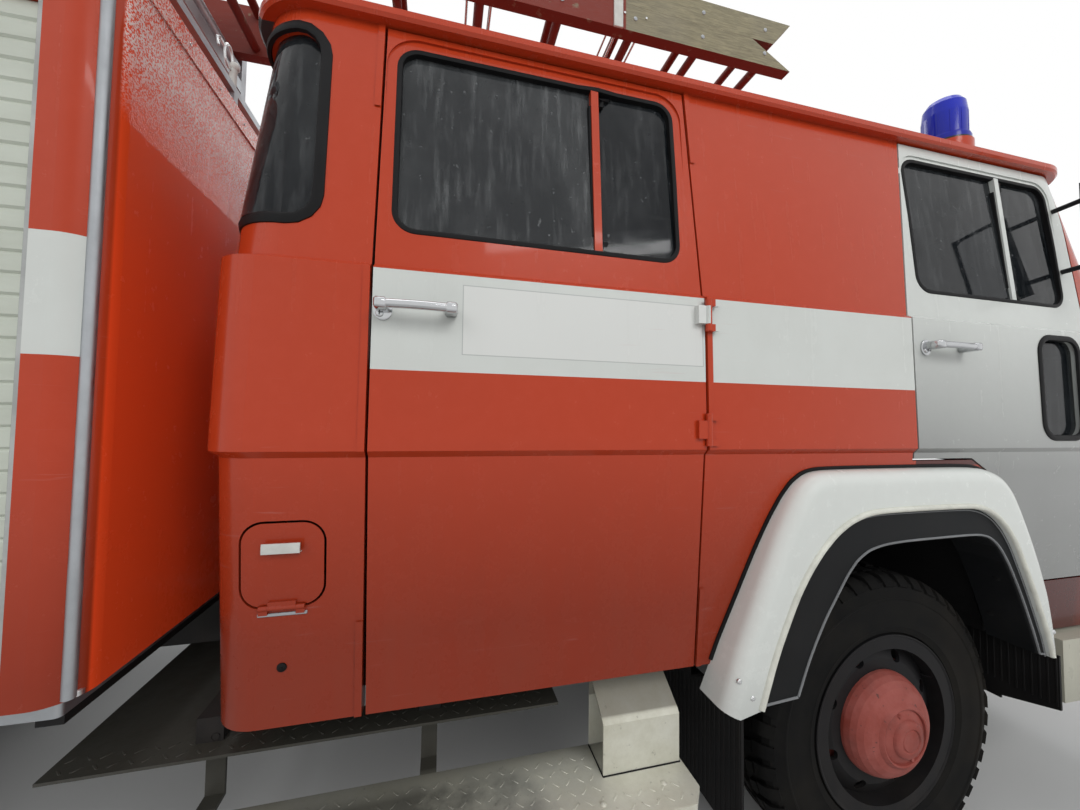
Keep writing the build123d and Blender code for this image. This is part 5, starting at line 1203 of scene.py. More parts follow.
def even_line(points, count):
    """As many points at equal steps along an open line."""
    reached = [0.0]
    for a, b in zip(points, points[1:]):
        reached.append(reached[-1] + math.hypot(b[0] - a[0], b[1] - a[1]))
    out, k = [], 0
    for i in range(count):
        want = reached[-1] * i / (count - 1)
        while k < len(points) - 2 and reached[k + 1] < want:
            k += 1
        out.append(between(points[k], points[k + 1], (want - reached[k]) / (reached[k + 1] - reached[k])))
    return out


def arch_line(points, inward, y):
    """A smooth line beside an outline of the wheel opening, at y, with its outward direction."""
    return [((at(x), -y, z), RIGHT) for x, z in shifted_line(softened_line(points, 0.2), inward)]


class FIRE_OT_fender_shells(bpy.types.Operator):
    """Press the fenders, with their rounded shoulders, round the wheel openings"""

    bl_idname = "fire_engine.fender_shells"
    bl_label = "Fenders"

    def execute(self, context):
        face = widest("fenders")
        rounding, stations = 0.044, 96
        outer = even_line(softened_line(FENDER_EDGE, 0.2), stations)
        inner = even_line(softened_line(FLARE_EDGE, 0.2), stations)
        shoulder = []
        for k in range(9):
            a = math.radians(90 * k / 8)
            shoulder.append((shifted_line(outer, -rounding * (1 - math.cos(a))), face - rounding * (1 - math.sin(a))))
        # The cab's side under the fender leans in below its crease, and the fender's feet follow it
        side_at_crease, side_slope, crease = 1.181, 0.0822, 1.37
        rings = []
        for i in range(stations):
            foot_out, foot_in = (side_at_crease - side_slope * (crease - line[i][1]) for line in (outer, inner))
            ring = [(outer[i], foot_out), *((line[i], y) for line, y in shoulder)]
            rounded = shoulder[-1][0][i]
            ring += [(between(rounded, inner[i], t), face) for t in (0.33, 0.67, 1)]
            ring.append((inner[i], foot_in))
            rings.append([Vector((at(x), -y, z)) for (x, z), y in ring])
        shell = Form()
        shell.loft(rings)
        other = shell.mirrored()
        shell.add(other.vertices, other.faces)
        shell.piece("fender_shells", "white", replaces=("fenders",))
        return {"FINISHED"}


class FIRE_OT_fender_trim(bpy.types.Operator):
    """Seal the fenders, pipe the flares, and add the screws, the arch plates and the ribs of the mud flaps"""

    bl_idname = "fire_engine.fender_trim"
    bl_label = "Fender trim"

    def execute(self, context):
        piping = context.scene.engine_trim.piping
        flare_y = widest("fender_flares")
        cab = Skin("cab_middle_panels", "cab_front", "door_rear_right", "door_front_right")
        edge = shifted_line(softened_line(FENDER_EDGE, 0.16), 0.0035)
        seal = Form()
        bead = [(-0.0065, -0.001), (-0.006, 0.005), (0, 0.0068), (0.006, 0.0045), (0.0065, -0.001)]
        seal.sweep([cab.beside(at(x), z, -1) for x, z in edge if z > 0.765], bead)
        both(seal, "fender_seal", "rubber")
        lip = Form()
        lip.sweep(arch_line(FLARE_EDGE, 0.0085, widest("fenders")), round_section(0.017, 0.0095))
        both(lip, "fender_lip", "lip")
        line = Form()
        thick, thin = round_section(piping, piping * 0.55, 8), round_section(piping * 0.6, piping * 0.35, 8)
        line.sweep(arch_line(OPENING_EDGE, 0.0075, flare_y), thick)
        line.sweep(arch_line(FLARE_EDGE, -0.0062, flare_y), thin)
        for start, end in (((-0.458, 0.7005), (-0.5635, 0.6945)), ((0.5275, 0.7005), (0.553, 0.6965))):
            foot = [between(start, end, t) for t in (0, 0.5, 1)]
            line.rail([(at(x), -flare_y, z) for x, z in foot], RIGHT, thick)
        both(line, "flare_piping", "piping")
        screws = Form()
        fender = Skin("fenders")
        for x, z in ((-0.645, 0.768), (-0.612, 0.726), (0.588, 0.768)):
            place, _ = fender.beside(at(x), z, -1)
            screws.turn([(0, 0.004), (0.005, 0.0035), (0.0075, 0.001), (0.0078, -0.003)], place, RIGHT, 16)
            slot, half = place - Vector((0, 0.0041, 0)), Vector((0.0045, 0.0005, 0.0008))
            screws.block(slot - half, slot + half, 0.0003)
        both(screws, "fender_screws", "bright")
        leg = [(at(x), z) for x, z in shifted_line(OPENING_EDGE, 0.004) if x > 0.34 and 0.71 < z < 1.05]
        plate = Form()
        plate.loft([
            [Vector((x + dx, y, z)) for dx, y in ((0, -1.222), (0, -1.105), (0.003, -1.105), (0.003, -1.222))]
            for x, z in leg
        ])
        both(plate, "arch_plate", "cover")
        plugs = Form()
        for (x, z), y in ((leg[len(leg) // 3], -1.185), (leg[-2], -1.13)):
            dome = [(0, 0.004), (0.01, 0.0035), (0.014, 0.001), (0.0145, -0.002)]
            plugs.turn(dome, (x - 0.001, y, z), (-0.9, 0, -0.4), 20)
        both(plugs, "arch_plugs", "rubber")
        ribs = Form()
        # Both faces of the rear and of the front mud flap: place along the vehicle, low end, outer edge
        for flap_x, z0, outer in ((-0.64, 0.336, -1.224), (-0.632, 0.336, -1.224), (0.6117, 0.515, -1.23),
                                  (0.6197, 0.515, -1.23)):
            x, inner = at(flap_x), -0.706
            count = round((inner - outer) / 0.0205)
            for k in range(count + 1):
                y = outer + (inner - outer) * k / count
                ribs.block((x - 0.0022, y - 0.0035, z0), (x + 0.0022, y + 0.0035, 0.678), 0.0015)
        both(ribs, "mud_flap_ribs", "rubber")
        return {"FINISHED"}


class FIRE_OT_step_plates(bpy.types.Operator):
    """Raise the tread bars of the footboards and screw the plates down"""

    bl_idname = "fire_engine.step_plates"
    bl_label = "Step plates"

    def execute(self, context):
        settings = context.scene.engine_trim
        bars = Form()
        pitch = settings.tread_pitch
        footboard_top, deck_top = 0.5, 0.6477
        # Rear, front, inner and outer edges of the plates, and their tops
        plates = (
            (-2.125, -1, 1.022, 1.24, footboard_top), (-2.28, -1.1, 0.935, 1.022, deck_top),
            (-1, -0.795, 1.138, 1.24, footboard_top),
        )
        for rear, front, inner, outer, top in plates if settings.tread_bars else ():
            for row in range(int((outer - inner) / pitch)):
                for column in range(int((front - rear) / pitch)):
                    place = Vector((at(rear) + pitch * (column + 0.5), -(outer - pitch * (row + 0.5)), top))
                    lean = 1 if (row + column) % 2 else -1
                    turn = Matrix.Rotation(lean * math.pi / 4, 3, "Z")
                    half = Vector((0.0115, 0.0026, 0.001))
                    bars.block(place - half, place + half, 0.0009, turn)
        both(bars, "tread_bars", "plate")
        edging = Form()
        path = ((-2.132, -1.2515), (-0.8, -1.2515), (-0.789, -1.2505), (-0.753, -1.2075))
        edging.rail([(at(x), y, 0.491) for x, y in path], RIGHT, strip(0.008, 0.0018))
        head = [(0, 0.004), (0.0055, 0.0034), (0.0085, 0.001), (0.0088, -0.001)]
        for x, y in ((-0.84, -1.18), (-1.02, -1.2), (-1.3, -1.2), (-1.58, -1.2), (-1.86, -1.2), (-2.08, -1.2)):
            edging.turn(head, (at(x), y, footboard_top), UP, 16)
        both(edging, "footboard_edging", "plate")
        joint = Form()
        low_z, high_z = 0.499, 0.5024
        for x0, x1, y0, y1 in (
            (-0.992, -0.758, -1.13, -1.1262), (-0.9925, -0.9892, -1.129, -1.015), (-0.7608, -0.7575, -1.129, -1.015)
        ):
            joint.block((at(x0), y0, low_z), (at(x1), y1, high_z), 0.001)
        both(joint, "step_joint", "rubber")
        return {"FINISHED"}


class FIRE_OT_front_end(bpy.types.Operator):
    """Fit the headlamp rims, indicators, wipers, bumper bolts and the blank plate"""

    bl_idname = "fire_engine.front_end"
    bl_label = "Front end"

    def execute(self, context):
        lamp_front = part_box("headlamps")[1].x - 0.006
        rims, amber, white = Form(), Form(), Form()
        face = Skin("cab_front", "bumper", "grille")
        lamp_rim = [
            (0.078, 0.002), (0.082, 0.008), (0.09, 0.009), (0.098, 0.004), (0.101, -0.004), (0.099, -0.012),
            (0.09, -0.012), (0.078, -0.004),
        ]
        for s in (-1, 1):
            rims.turn(lamp_rim, (lamp_front, s * 0.83, 0.585), AHEAD, 64)
            place = face.from_ahead(s * 0.985, 1.04)
            amber.turn([(0, 0.032), (0.02, 0.03), (0.036, 0.022), (0.042, 0.01), (0.043, -0.003)], place, AHEAD, 40)
            rim = [(0.043, -0.003), (0.043, 0.006), (0.047, 0.009), (0.052, 0.005), (0.053, -0.004)]
            white.turn(rim, place, AHEAD, 40)
        rims.piece("headlamp_rims", "bright")
        amber.piece("front_indicators", "amber_lens")
        white.piece("indicator_rims", "bright")
        wipers = Form()
        for y in (-0.42, 0.2):
            foot = face.from_ahead(y, 1.84)
            boss = [(0, 0.03), (0.01, 0.029), (0.016, 0.018), (0.02, 0.004), (0.022, -0.004)]
            wipers.turn(boss, foot, AHEAD, 20)
            end = face.from_ahead(y + 0.16, 2.06)
            end = end + Vector((0.028, 0, 0)) if end.x >= at(1) else Vector((at(1.2), y + 0.16, 2.06))
            arm = [foot + Vector((0.024, 0, 0)), (foot + end) / 2 + Vector((0.02, 0, 0)), end]
            wipers.rail(arm, AHEAD, strip(0.006, 0.003, -0.003))
            reach = Vector((0, -0.36, 0.93)).normalized() * 0.2
            blade = [(-0.004, -0.014), (-0.005, 0.003), (0.005, 0.003), (0.004, -0.014)]
            wipers.rail([end - reach, end, end + reach], AHEAD, blade)
        wipers.piece("wipers", "plastic")
        bolts = Form()
        for s, y, z in product((-1, 1), (0.28, 0.42), (0.53, 0.63)):
            head = [(0, 0.012), (0.01, 0.0115), (0.0125, 0.009), (0.0125, -0.002)]
            bolts.turn(head, face.from_ahead(s * y, z), AHEAD, 6)
        bolts.piece("bumper_bolts", "bright", sharp=20)
        plate = Form()
        place = face.from_ahead(0, 0.575)
        plate.block(place + Vector((-0.002, -0.265, -0.058)), place + Vector((0.003, 0.265, 0.058)), 0.0015)
        for y in (-0.2, 0.2):
            plate.turn([(0, 0.005), (0.005, 0.004), (0.007, 0)], place + Vector((0.003, y, 0)), AHEAD, 12)
        plate.piece("number_plate_blank", "dial")
        return {"FINISHED"}


class FIRE_OT_mirror_glasses(bpy.types.Operator):
    """Set silvered glass and a rim into the mirrors' rear faces"""

    bl_idname = "fire_engine.mirror_glasses"
    bl_label = "Mirror glasses"

    def execute(self, context):
        edge, inner = 0.012, 1.232
        for side, s in SIDES:
            node = f"mirrors_{side}"
            low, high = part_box(node)
            body = frame["nodes"][node]["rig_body"]
            y0, y1 = sorted((s * inner, s * widest(node)))
            start = (low.x - 1, (y0 + y1) / 2, (low.z + high.z) / 2)
            face_x = Skin(node).hit(start, AHEAD)[0].x
            outline = rounded_rectangle(y0 + edge, y1 - edge, low.z + edge, high.z - edge, 0.028)
            ring = [Vector((face_x - 0.0015, y, z)) for y, z in outline]
            glass, rim = Form(), Form()
            glass.loft([[p + Vector((0.003, 0, 0)) for p in ring], ring])
            glass.piece(f"mirror_glass_{side}", "mirror", body)
            section = [(-0.006, -0.003), (-0.005, 0.004), (0.003, 0.004), (0.005, -0.003)]
            rim.sweep([(p, BACK) for p in ring], section, True)
            rim.piece(f"mirror_rim_{side}", "rubber", body)
        return {"FINISHED"}


class FIRE_OT_beacon_parts(bpy.types.Operator):
    """Ring and rib the blue beacons"""

    bl_idname = "fire_engine.beacon_parts"
    bl_label = "Beacon rings"

    def execute(self, context):
        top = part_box("beacons")[1].z
        rings, ribs = Form(), Form()
        ring = [
            (0.0735, 0.004), (0.075, 0.0085), (0.0785, 0.0085), (0.08, 0.003), (0.079, -0.004), (0.0735, -0.004)
        ]
        rib = [(-0.0022, -0.001), (-0.0012, 0.0022), (0.0012, 0.0022), (0.0022, -0.001)]
        for s in (-1, 1):
            centre = Vector((at(0.633), s * 0.95, top))
            rings.turn(ring, centre - Vector((0, 0, 0.181)), UP, 56)
            for c, sine in circle(12, 0.5):
                way = Vector((c, sine, 0))
                ribs.rail([centre + way * 0.0728 - Vector((0, 0, drop)) for drop in (0.17, 0.12, 0.078)], way, rib)
        rings.piece("beacon_rings", "beacon")
        ribs.piece("beacon_ribs", "beacon")
        return {"FINISHED"}


class FIRE_OT_shutter_parts(bpy.types.Operator):
    """Fit lift bars with their handles, the guide rails and drip rails of the roller shutters"""

    bl_idname = "fire_engine.shutter_parts"
    bl_label = "Shutter fittings"

    def execute(self, context):
        skin = Skin("roller_shutters")
        bars, guides, locks = Form(), Form(), Form()
        handle = ((-0.075, 0.008), (-0.073, 0.013), (-0.055, 0.015), (0.055, 0.015), (0.073, 0.013), (0.075, 0.008))
        lock = [(0, 0.006), (0.01, 0.006), (0.0125, 0.004), (0.013, -0.001)]
        for front, rear, z0 in ((-2.205, -3.02, 0.972), (-3.1, -4.3, 1.18), (-4.38, -5.075, 0.972)):
            x0, x1, centre = at(rear), at(front), at((rear + front) / 2)
            y = skin.beside(centre, z0 + 0.2, -1)[0].y
            bars.block((x0 + 0.03, y - 0.0105, z0 + 0.026), (x1 - 0.03, y - 0.0005, z0 + 0.062), 0.0035)
            bars.block((x0 + 0.03, y - 0.0135, z0 + 0.02), (x1 - 0.03, y - 0.0045, z0 + 0.029), 0.003)
            bars.tube([(centre + dx, y - out, z0 + 0.046) for dx, out in handle], 0.0048)
            for x in (x0 + 0.006, x1 - 0.006):
                guides.block((x - 0.0055, -1.2185, z0 + 0.004), (x + 0.0055, y - 0.0004, 2.27))
            locks.turn(lock, (centre, y - 0.0105, z0 + 0.1), RIGHT, 24)
        both(bars, "shutter_lift_bars", "aluminium")
        both(guides, "shutter_guides", "guide")
        both(locks, "shutter_locks", "chrome")
        drips = Form()
        body = Skin("body_sides", "body_roof", "body_end_walls")
        line = [body.beside(at(-5.1 + 2.92 * i / 12), 2.292, -1)[0] for i in range(13)]
        drips.rail(line, RIGHT, [(-0.01, -0.001), (-0.01, 0.003), (0.006, 0.01), (0.01, 0.009), (0.01, -0.001)])
        both(drips, "drip_rails", "aluminium")
        return {"FINISHED"}


class FIRE_OT_corner_fixings(bpy.types.Operator):
    """Cap the corner strips and screw down the roof's edge"""

    bl_idname = "fire_engine.corner_fixings"
    bl_label = "Corner fixings"

    def execute(self, context):
        low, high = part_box("corner_strips")
        strips, caps = Skin("corner_strips"), Form()
        cap = [(0, 0.006), (0.008, 0.006), (0.0125, 0.003), (0.0125, -0.006)]
        for s in (-1, 1):
            place, _ = strips.hit((at(-1.6), s * 1.8, (low.z + high.z) / 2), (-0.67, -0.74 * s, 0))
            for z in (low.z + 0.004, high.z - 0.004):
                caps.turn(cap, (place.x - 0.006, place.y - s * 0.007, z), UP, 20)
        caps.piece("corner_strip_caps", "bright")
        rim, rim_z = Skin("body_roof"), 2.436
        places = [rim.beside(at(-2.16 - 2.9 * k / 21), rim_z, -1) for k in range(22)]
        places += [rim.hit((at(2), -1.12 + 2.24 * k / 15, rim_z), BACK) for k in range(16)]
        screws = Form()
        for place, outward in places:
            screws.turn([(0, 0.0022), (0.0028, 0.0019), (0.0042, 0.0007), (0.0044, -0.001)], place, outward, 12)
        both(screws, "roof_rim_screws", "bright")
        return {"FINISHED"}


class FIRE_OT_rail_hook(bpy.types.Operator):
    """Hang the snap hook on the roof rail's post"""

    bl_idname = "fire_engine.rail_hook"
    bl_label = "Rail hook"

    def execute(self, context):
        x, y = at(-2.127), -0.69
        post = Form()
        tip = (x + 0.004, y, 2.612)
        post.tube([(x, y, 2.546), (x, y, 2.585), tip], 0.011, 14)
        knob = [(0, 0.014), (0.01, 0.012), (0.0145, 0.004), (0.0145, -0.006), (0.01, -0.012)]
        post.turn(knob, tip, UP, 20)
        post.piece("rail_post_tip", "bracket", sharp=50)
        hook = Form()
        hook.tube([(x - 0.004, -0.712 + 0.024 * c, 2.628 + 0.036 * s) for c, s in circle(26)], 0.0042, closed=True)
        shank = ((0.004, -0.735, 2.64), (0.012, -0.752, 2.655), (0.01, -0.77, 2.64), (0.004, -0.772, 2.612))
        hook.tube([(x - back, side_y, z) for back, side_y, z in shank], 0.0045)
        hook.piece("snap_hook", "bright", sharp=60)
        return {"FINISHED"}


class FIRE_OT_ladder_irons(bpy.types.Operator):
    """Fit the ladder's tie rods, guide brackets, sleeves, shoes and bolts"""

    bl_idname = "fire_engine.ladder_irons"
    bl_label = "Ladder irons"

    def execute(self, context):
        settings = context.scene.engine_ladder
        rung_pitch, first_rung = 0.3, 0.13
        paint_end = at(-settings.sleeve)
        for node in ("ladder_base", "ladder_fly"):
            low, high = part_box(node)
            centre = (low.y + high.y) / 2
            half = (high.y - low.y) / 2
            middle_z = (low.z + high.z) / 2
            rods, bolts, shoes, sleeves, brackets = Form(), Form(), Form(), Form(), Form()
            for k in range(int((high.x - low.x - 0.2) / rung_pitch)):
                rung = high.x - first_rung - rung_pitch * k
                for x in (rung - 0.046, rung + 0.046) if k % 2 == 0 and k > 0 else ():
                    ends = [(x, centre + s * (half + 0.004), middle_z + 0.012) for s in (-1, 1)]
                    rods.tube(ends, settings.rod / 2)
                for s in (-1, 1):
                    bolt = [(0, 0.0055), (0.0045, 0.005), (0.008, 0.002), (0.0085, -0.002)]
                    bolts.turn(bolt, (rung, centre + s * half, middle_z), (0, s, 0), 16)
            for s in (-1, 1):
                y = centre + s * (half - 0.022)
                shoes.block((low.x - 0.004, y - 0.026, low.z - 0.003), (low.x + 0.07, y + 0.026, high.z + 0.003), 0.003)
                wall = centre + s * half
                # Plates on the stile's outer face: form, two ends, thickness and reach beyond the stile's height
                for form, x0, x1, thick, over in (
                    (brackets, paint_end - 0.052, paint_end - 0.014, 0.006, 0.001),
                    (sleeves, at(-2.46), at(-2.34), 0.004, -0.01), (sleeves, at(-4.26), at(-4.14), 0.004, -0.01),
                ):
                    y0, y1 = sorted((wall - s * 0.002, wall + s * thick))
                    form.block((x0, y0, low.z - over), (x1, y1, high.z + over), 0.0015)
            for form, name, finish in (
                (rods, "tie_rods", "bright"), (bolts, "rung_bolts", "aluminium"), (shoes, "shoes", "aluminium"),
                (brackets, "stile_brackets", "bracket"), (sleeves, "stile_plates", "sleeve"),
            ):
                form.piece(f"{node}_{name}", finish, node)
        return {"FINISHED"}


def cushion(low, high, radius, puff):
    """A padded block: rounded sides, a swollen top and a stitched seam."""
    x0, y0, z0 = low
    x1, y1, z1 = high
    form, rings = Form(), []
    for level, inset in (
        (0, radius), (0.18, radius * 0.25), (0.45, 0), (0.62, 0), (0.66, 0.003), (0.7, 0), (0.88, radius * 0.18),
        (1, radius * 0.62),
    ):
        z = z0 + (z1 - z0) * level
        outline = rounded_rectangle(x0 + inset, x1 - inset, y0 + inset, y1 - inset, radius, 5)
        rings.append([Vector((x, y, z)) for x, y in outline])
    top = rings[-1]
    centre = sum(top, Vector()) / len(top)
    for shrink, rise in ((0.8, 0.55), (0.55, 0.85), (0.28, 1)):
        rings.append([centre + (p - centre) * shrink + Vector((0, 0, puff * rise)) for p in top])
    form.loft(rings)
    return form


class FIRE_OT_seats(bpy.types.Operator):
    """Put padded cushions and backrests over the two front seats and the crew's bench"""

    bl_idname = "fire_engine.seats"
    bl_label = "Seats"

    def execute(self, context):
        # Rear, front, right and left edges, the pad's underside and top, and the backrest's top
        seats = [(at(-0.205), at(0.25), s * 0.69 - 0.235, s * 0.69 + 0.235, 1.302, 1.431, 1.955) for s in (-1, 1)]
        bench = [
            (at(-1.855), at(-1.405), -1.035 + 0.52 * k, -0.525 + 0.52 * k, 1.182, 1.3, 1.876) for k in range(4)
        ]
        for k, (x0, x1, y0, y1, z0, z1, top) in enumerate(seats + bench):
            y1 -= 0.006
            pad = cushion((x0 + 0.02, y0, z0 - 0.04), (x1, y1, z1), 0.045, 0.022)
            half = (top - z1) / 2
            panel = cushion((-half, y0 + 0.008, 0), (half, y1 - 0.008, 0.105), 0.04, 0.016)
            lean = Matrix.Rotation(math.radians(90 - 8), 4, "Y")
            seat_back = Matrix.Translation((x0 - 0.03, 0, (top + z1) / 2 + 0.004)) @ lean
            pad.add([seat_back @ v for v in panel.vertices], panel.faces)
            made = pad.piece(f"seat_pad_{k + 1}", "cloth", "vehicle", ["seats"], "seat_cloth", 50)
        frames = Form()
        for x0, x1, y0, y1, z0, z1, top in seats:
            frames.block((x0 + 0.05, y0 + 0.03, z0 - 0.11), (x1 - 0.03, y1 - 0.03, z0 - 0.035), 0.006)
            bend = ((0.08, z0 - 0.06), (-0.02, z0 - 0.01), (-0.055, z1 + 0.05), (-0.11, top - 0.12))
            for y in (y0 + 0.05, y1 - 0.05):
                frames.tube([(x0 + dx, y, z) for dx, z in bend], 0.011)
        frames.piece("seat_frames", "plastic")
        return {"FINISHED"}


class FIRE_OT_driving_controls(bpy.types.Operator):
    """Fit the dials, switches, wheel boss and gear levers"""

    bl_idname = "fire_engine.driving_controls"
    bl_label = "Driving controls"

    def execute(self, context):
        board = Skin("dashboard")
        rings, dials = Form(), Form()
        # The dials' places across and up, and their radii
        for y, z, radius in (
            (0.6, 1.655, 0.048), (0.78, 1.655, 0.048), (0.69, 1.7, 0.026), (0.46, 1.66, 0.026), (0.4, 1.66, 0.026)
        ):
            place, _ = board.hit((at(-0.5), y, z), AHEAD)
            glass = [(0, 0.0035), (radius * 0.86, 0.0035), (radius * 0.88, -0.003), (0, -0.003)]
            dials.turn(glass, place, BACK, 36)
            bezel = [(radius * 0.86, 0.002), (radius * 0.9, 0.0085), (radius, 0.0075), (radius * 1.04, -0.003)]
            rings.turn(bezel, place, BACK, 36)
        knob = [(0, 0.022), (0.006, 0.021), (0.008, 0.014), (0.005, 0.004), (0.011, 0.002), (0.012, -0.003)]
        for k in range(8):
            place, _ = board.hit((at(-0.5), 0.36 - 0.045 * k, 1.6), AHEAD)
            rings.turn(knob, place, BACK, 16)
        rings.piece("dial_rings", "plastic")
        dials.piece("dial_faces", "dial")
        boss = Form()
        axis = Vector((-0.5, 0, math.sqrt(0.75)))
        centre = Vector((at(0.7), 0.69, 1.745))
        cap = [(0, 0.03), (0.024, 0.029), (0.034, 0.022), (0.04, 0.008), (0.042, -0.012), (0.03, -0.02)]
        boss.turn(cap, centre, axis, 32)
        for angle in (90, 210, 330):
            spoke = Matrix.Rotation(math.radians(angle), 3, axis) @ axis.orthogonal().normalized()
            boss.tube([centre + spoke * 0.03 + axis * 0.016, centre + spoke * 0.036 + axis * 0.014], 0.004, 8)
        boss.piece("wheel_boss", "plastic", frame["nodes"]["steering_wheel"]["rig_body"], sharp=50)
        levers = Form()
        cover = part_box("engine_cover")[1].z
        grip = [(0, 0.03), (0.016, 0.026), (0.023, 0.01), (0.02, -0.008), (0.009, -0.02)]
        gaiter = [(0.01, 0.052), (0.022, 0.04), (0.034, 0.018), (0.058, 0.004), (0.062, -0.002)]
        for x, y, tall in ((0.34, 0.17, 0.3), (0.22, 0.1, 0.19)):
            foot, end = (at(x), y, cover), (at(x + 0.05), y + 0.01, cover + tall)
            levers.tube([(at(x), y, cover - 0.004), (at(x + 0.01), y, cover + tall * 0.5), end], 0.0075)
            levers.turn(grip, end, UP, 20)
            levers.turn(gaiter, foot, UP, 24)
        levers.piece("gear_levers", "rubber", sharp=50)
        return {"FINISHED"}


class FIRE_OT_chassis_fittings(bpy.types.Operator):
    """Add U-bolts, rail rivets, tank straps and tail lamp rims"""

    bl_idname = "fire_engine.chassis_fittings"
    bl_label = "Chassis fittings"

    def execute(self, context):
        rivets, clamps, straps, lamps = Form(), Form(), Form(), Form()
        rails = Skin("chassis_frame")
        low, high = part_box("chassis_frame")
        steps, rail_y = 26, 0.66
        for k, z in product(range(steps), (0.66, 0.78)):
            x = low.x + 0.25 + (high.x - low.x - 0.5) * k / (steps - 1)
            place, _ = rails.hit((x, -rail_y, z), (0, 1, 0))
            if abs(place.y) > 0.3 and abs(place.x - x) < 0.01:
                rivets.turn([(0, 0.006), (0.006, 0.005), (0.009, 0.002), (0.0095, -0.002)], place, RIGHT, 12)
        both(rivets, "rail_rivets", "chassis")
        springs, outer = Skin("leaf_springs"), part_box("leaf_springs")[1].y
        nut = [(0, 0.022), (0.008, 0.022), (0.0145, 0.016), (0.0145, 0)]
        for (axle_x, radius), dx in product(((AXLE_X, 0.075), (REAR_WHEELS.x, 0.095)), (-0.075, 0.075)):
            x = axle_x + dx
            top = springs.hit((x, -outer + 0.04, 1.2), (0, 0, -1))[0].z
            for y in (-outer - 0.003, -outer + 0.081):
                clamps.tube([(x, y, WHEEL_RADIUS - radius), (x, y, top + 0.014)], 0.008)
                clamps.turn(nut, (x, y, top + 0.01), UP, 6)
            clamps.block((x - 0.02, -outer - 0.016, top - 0.002), (x + 0.02, -outer + 0.092, top + 0.012), 0.003)
        both(clamps, "spring_clamps", "chassis")
        tank = Skin("fuel_tank")
        low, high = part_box("fuel_tank")
        centre = (low + high) / 2
        for x in (low.x + 0.09, high.x - 0.09):
            path = []
            for y, z in rounded_rectangle(low.y, high.y, low.z, high.z, 0.055):
                way = Vector((0, centre.y - y, centre.z - z))
                path.append((tank.hit(Vector((x, y, z)) - way * 0.5, way)[0], -way))
            straps.sweep(path, strip(0.016, 0.0028), True)
        straps.piece("tank_straps", "aluminium")
        low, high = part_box("tail_lamps")
        rim = [(-0.004, -0.01), (-0.005, 0.003), (0.004, 0.004), (0.005, -0.01)]
        for s in (-1, 1):
            y0, y1 = sorted((s * 1.01, s * 1.19))
            outline = rounded_rectangle(y0, y1, low.z, high.z, 0.012, 4)
            lamps.sweep([((low.x - 0.0005, y, z), BACK) for y, z in outline], rim, True)
            for y in (y0 + (y1 - y0) / 3, y0 + (y1 - y0) * 2 / 3):
                near, far = (low.x - 0.003, y - 0.002, low.z + 0.003), (low.x + 0.002, y + 0.002, high.z - 0.003)
                lamps.block(near, far, 0.0008)
        lamps.piece("tail_lamp_rims", "rubber")
        return {"FINISHED"}


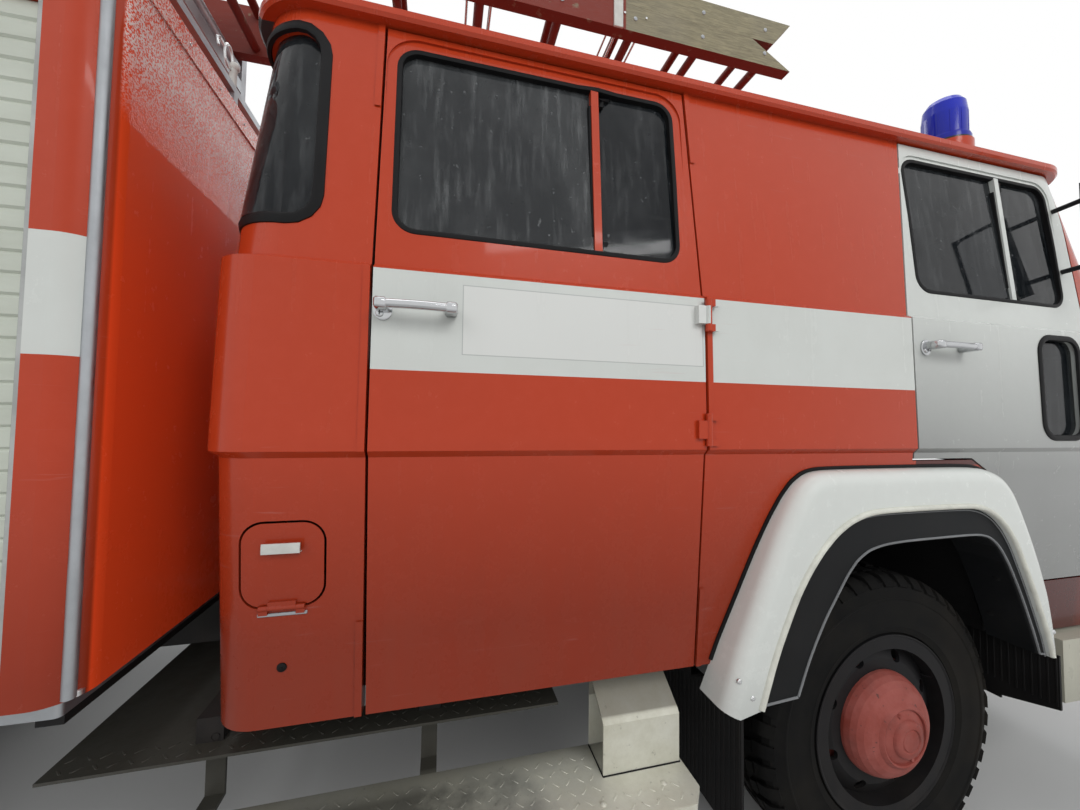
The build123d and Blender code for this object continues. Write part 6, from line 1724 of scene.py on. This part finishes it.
class FIRE_OT_studio(bpy.types.Operator):
    """Lay the floor, hang the lamps and set the camera where the photographer stood"""

    bl_idname = "fire_engine.studio"
    bl_label = "Studio"

    def execute(self, context):
        scene = context.scene
        settings = scene.engine_studio

        def stage(name, data, place=Matrix()):
            """Puts a thing of the studio into the scene, marked as no part of the vehicle."""
            made = bpy.data.objects.new(name, data)
            made.matrix_world = place
            scene.collection.objects.link(made)
            return made

        reach = 40
        mesh = bpy.data.meshes.new("studio_floor")
        mesh.from_pydata([(x, y, 0) for x, y in product((-reach, reach), repeat=2)], [], [(0, 1, 3, 2)])
        mesh.shade_smooth()
        f = Finish("studio_floor", Specular_IOR_Level=0.2)
        worn = f.mix(f.ramp(f.noise(0.6, 3), 0.3, 0.7) * 0.06, settings.floor, (0.5, 0.5, 0.49))
        mesh.materials.append(f.wear(worn, f.noise(2) * 0.1 + 0.75))
        # The floor fades to white in the distance, as the backdrop does
        away = f.ramp((f.x * f.x * 0.5 + f.y * f.y) ** 0.5, 3.4, 7.5)
        glow = f.node("ShaderNodeEmission", {}, {"Color": (1, 1, 1), "Strength": 1})
        own = Wire(f, f.shader.outputs[0])
        f.feed(f.surface, f.node("ShaderNodeMixShader", {}, {0: away * f.seen_rays(), 1: own, 2: glow}))
        stage("studio_floor", mesh)

        scene.world = bpy.data.worlds.new("studio_world")
        scene.world.use_nodes = True
        sky = Graph(scene.world.node_tree)
        lighting = {"Color": (0.93, 0.96, 1), "Strength": 0.36 * settings.light}
        plain = sky.node("ShaderNodeBackground", {}, lighting)
        white = sky.node("ShaderNodeBackground", {}, {"Color": (1, 1, 1), "Strength": 1})
        shown = sky.node("ShaderNodeMixShader", {}, {0: sky.seen_rays(), 1: plain, 2: white})
        sky.node("ShaderNodeOutputWorld", {}, {"Surface": shown})

        aim = Vector((AXLE_X - 1.2, -0.6, 1.3))
        # Each lamp's name, place, size, share of the light, and whether it shows in shiny surfaces
        for name, (ahead, y, z), size, share, reflected in (
            ("key", (1.6, -8.6, 6.6), (5, 5), 0.38, False), ("fill", (-7.5, -7.5, 5.5), (6, 6), 0.2, False),
            ("top", (-1.5, 0.5, 10), (8, 8), 0.42, True), ("rim", (-3, 9, 6), (5, 5), 0.22, True),
            ("tube", (0.2, -4.6, 4.4), (2.4, 0.14), 0.035, True),
        ):
            lamp = bpy.data.lights.new(name, "AREA")
            lamp.shape = "RECTANGLE"
            lamp.size, lamp.size_y = size
            place = Vector((at(ahead), y, z))
            way = aim - place
            lamp.energy = 10 * way.length ** 2 * share * settings.light
            turn = way.to_track_quat("-Z", "Y").to_matrix().to_4x4()
            stage(name, lamp, Matrix.Translation(place) @ turn).visible_glossy = reflected

        camera = bpy.data.cameras.new("photographer")
        camera.sensor_fit = "HORIZONTAL"
        camera.sensor_width = 36
        camera.lens = settings.lens
        camera.clip_start = 0.05
        heading, pitch, roll = settings.heading, settings.pitch, settings.roll
        look = Vector((math.sin(heading) * math.cos(pitch), math.cos(heading) * math.cos(pitch), math.sin(pitch)))
        right = Vector((math.cos(heading), -math.sin(heading), 0))
        up = right.cross(look)
        right, up = right * math.cos(roll) + up * math.sin(roll), up * math.cos(roll) - right * math.sin(roll)
        turn = Matrix((right, up, -look)).transposed().to_4x4()
        place = Vector(settings.stand) + Vector((AXLE_X, 0, 0))
        scene.camera = stage("photographer", camera, Matrix.Translation(place) @ turn)
        scene.view_settings.view_transform = "Standard"
        return {"FINISHED"}


OPERATORS = (
    FIRE_OT_paint, FIRE_OT_tyres, FIRE_OT_wheel_fittings, FIRE_OT_window_seals, FIRE_OT_door_furniture,
    FIRE_OT_filler_flap, FIRE_OT_fender_shells, FIRE_OT_fender_trim, FIRE_OT_step_plates, FIRE_OT_front_end,
    FIRE_OT_mirror_glasses, FIRE_OT_beacon_parts, FIRE_OT_shutter_parts, FIRE_OT_corner_fixings, FIRE_OT_rail_hook,
    FIRE_OT_ladder_irons, FIRE_OT_seats, FIRE_OT_driving_controls, FIRE_OT_chassis_fittings, FIRE_OT_studio,
)
SETTINGS = (
    ("engine_paint", PaintSettings), ("engine_wheels", WheelSettings), ("engine_trim", TrimSettings),
    ("engine_ladder", LadderSettings), ("engine_studio", StudioSettings),
)


class FIRE_PT_panel(bpy.types.Panel):
    """The fire engine's settings and its operators"""

    bl_idname = "FIRE_PT_panel"
    bl_label = "Crew cab fire engine"
    bl_space_type = "VIEW_3D"
    bl_region_type = "UI"
    bl_category = "Fire Engine"

    def draw(self, context):
        for pointer, settings in SETTINGS:
            group = getattr(context.scene, pointer)
            box = self.layout.box()
            for name in settings.__annotations__:
                box.prop(group, name)
        for operator in OPERATORS:
            self.layout.operator(operator.bl_idname)


CLASSES = (*(settings for _, settings in SETTINGS), *OPERATORS, FIRE_PT_panel)


def register():
    for made in CLASSES:
        bpy.utils.register_class(made)
    for pointer, settings in SETTINGS:
        setattr(bpy.types.Scene, pointer, PointerProperty(type=settings))


def unregister():
    for pointer, _ in SETTINGS:
        delattr(bpy.types.Scene, pointer)
    for made in reversed(CLASSES):
        bpy.utils.unregister_class(made)


def main():
    register()
    for operator in OPERATORS:
        group, name = operator.bl_idname.split(".")
        getattr(getattr(bpy.ops, group), name)()


if __name__ == "__main__":
    main()
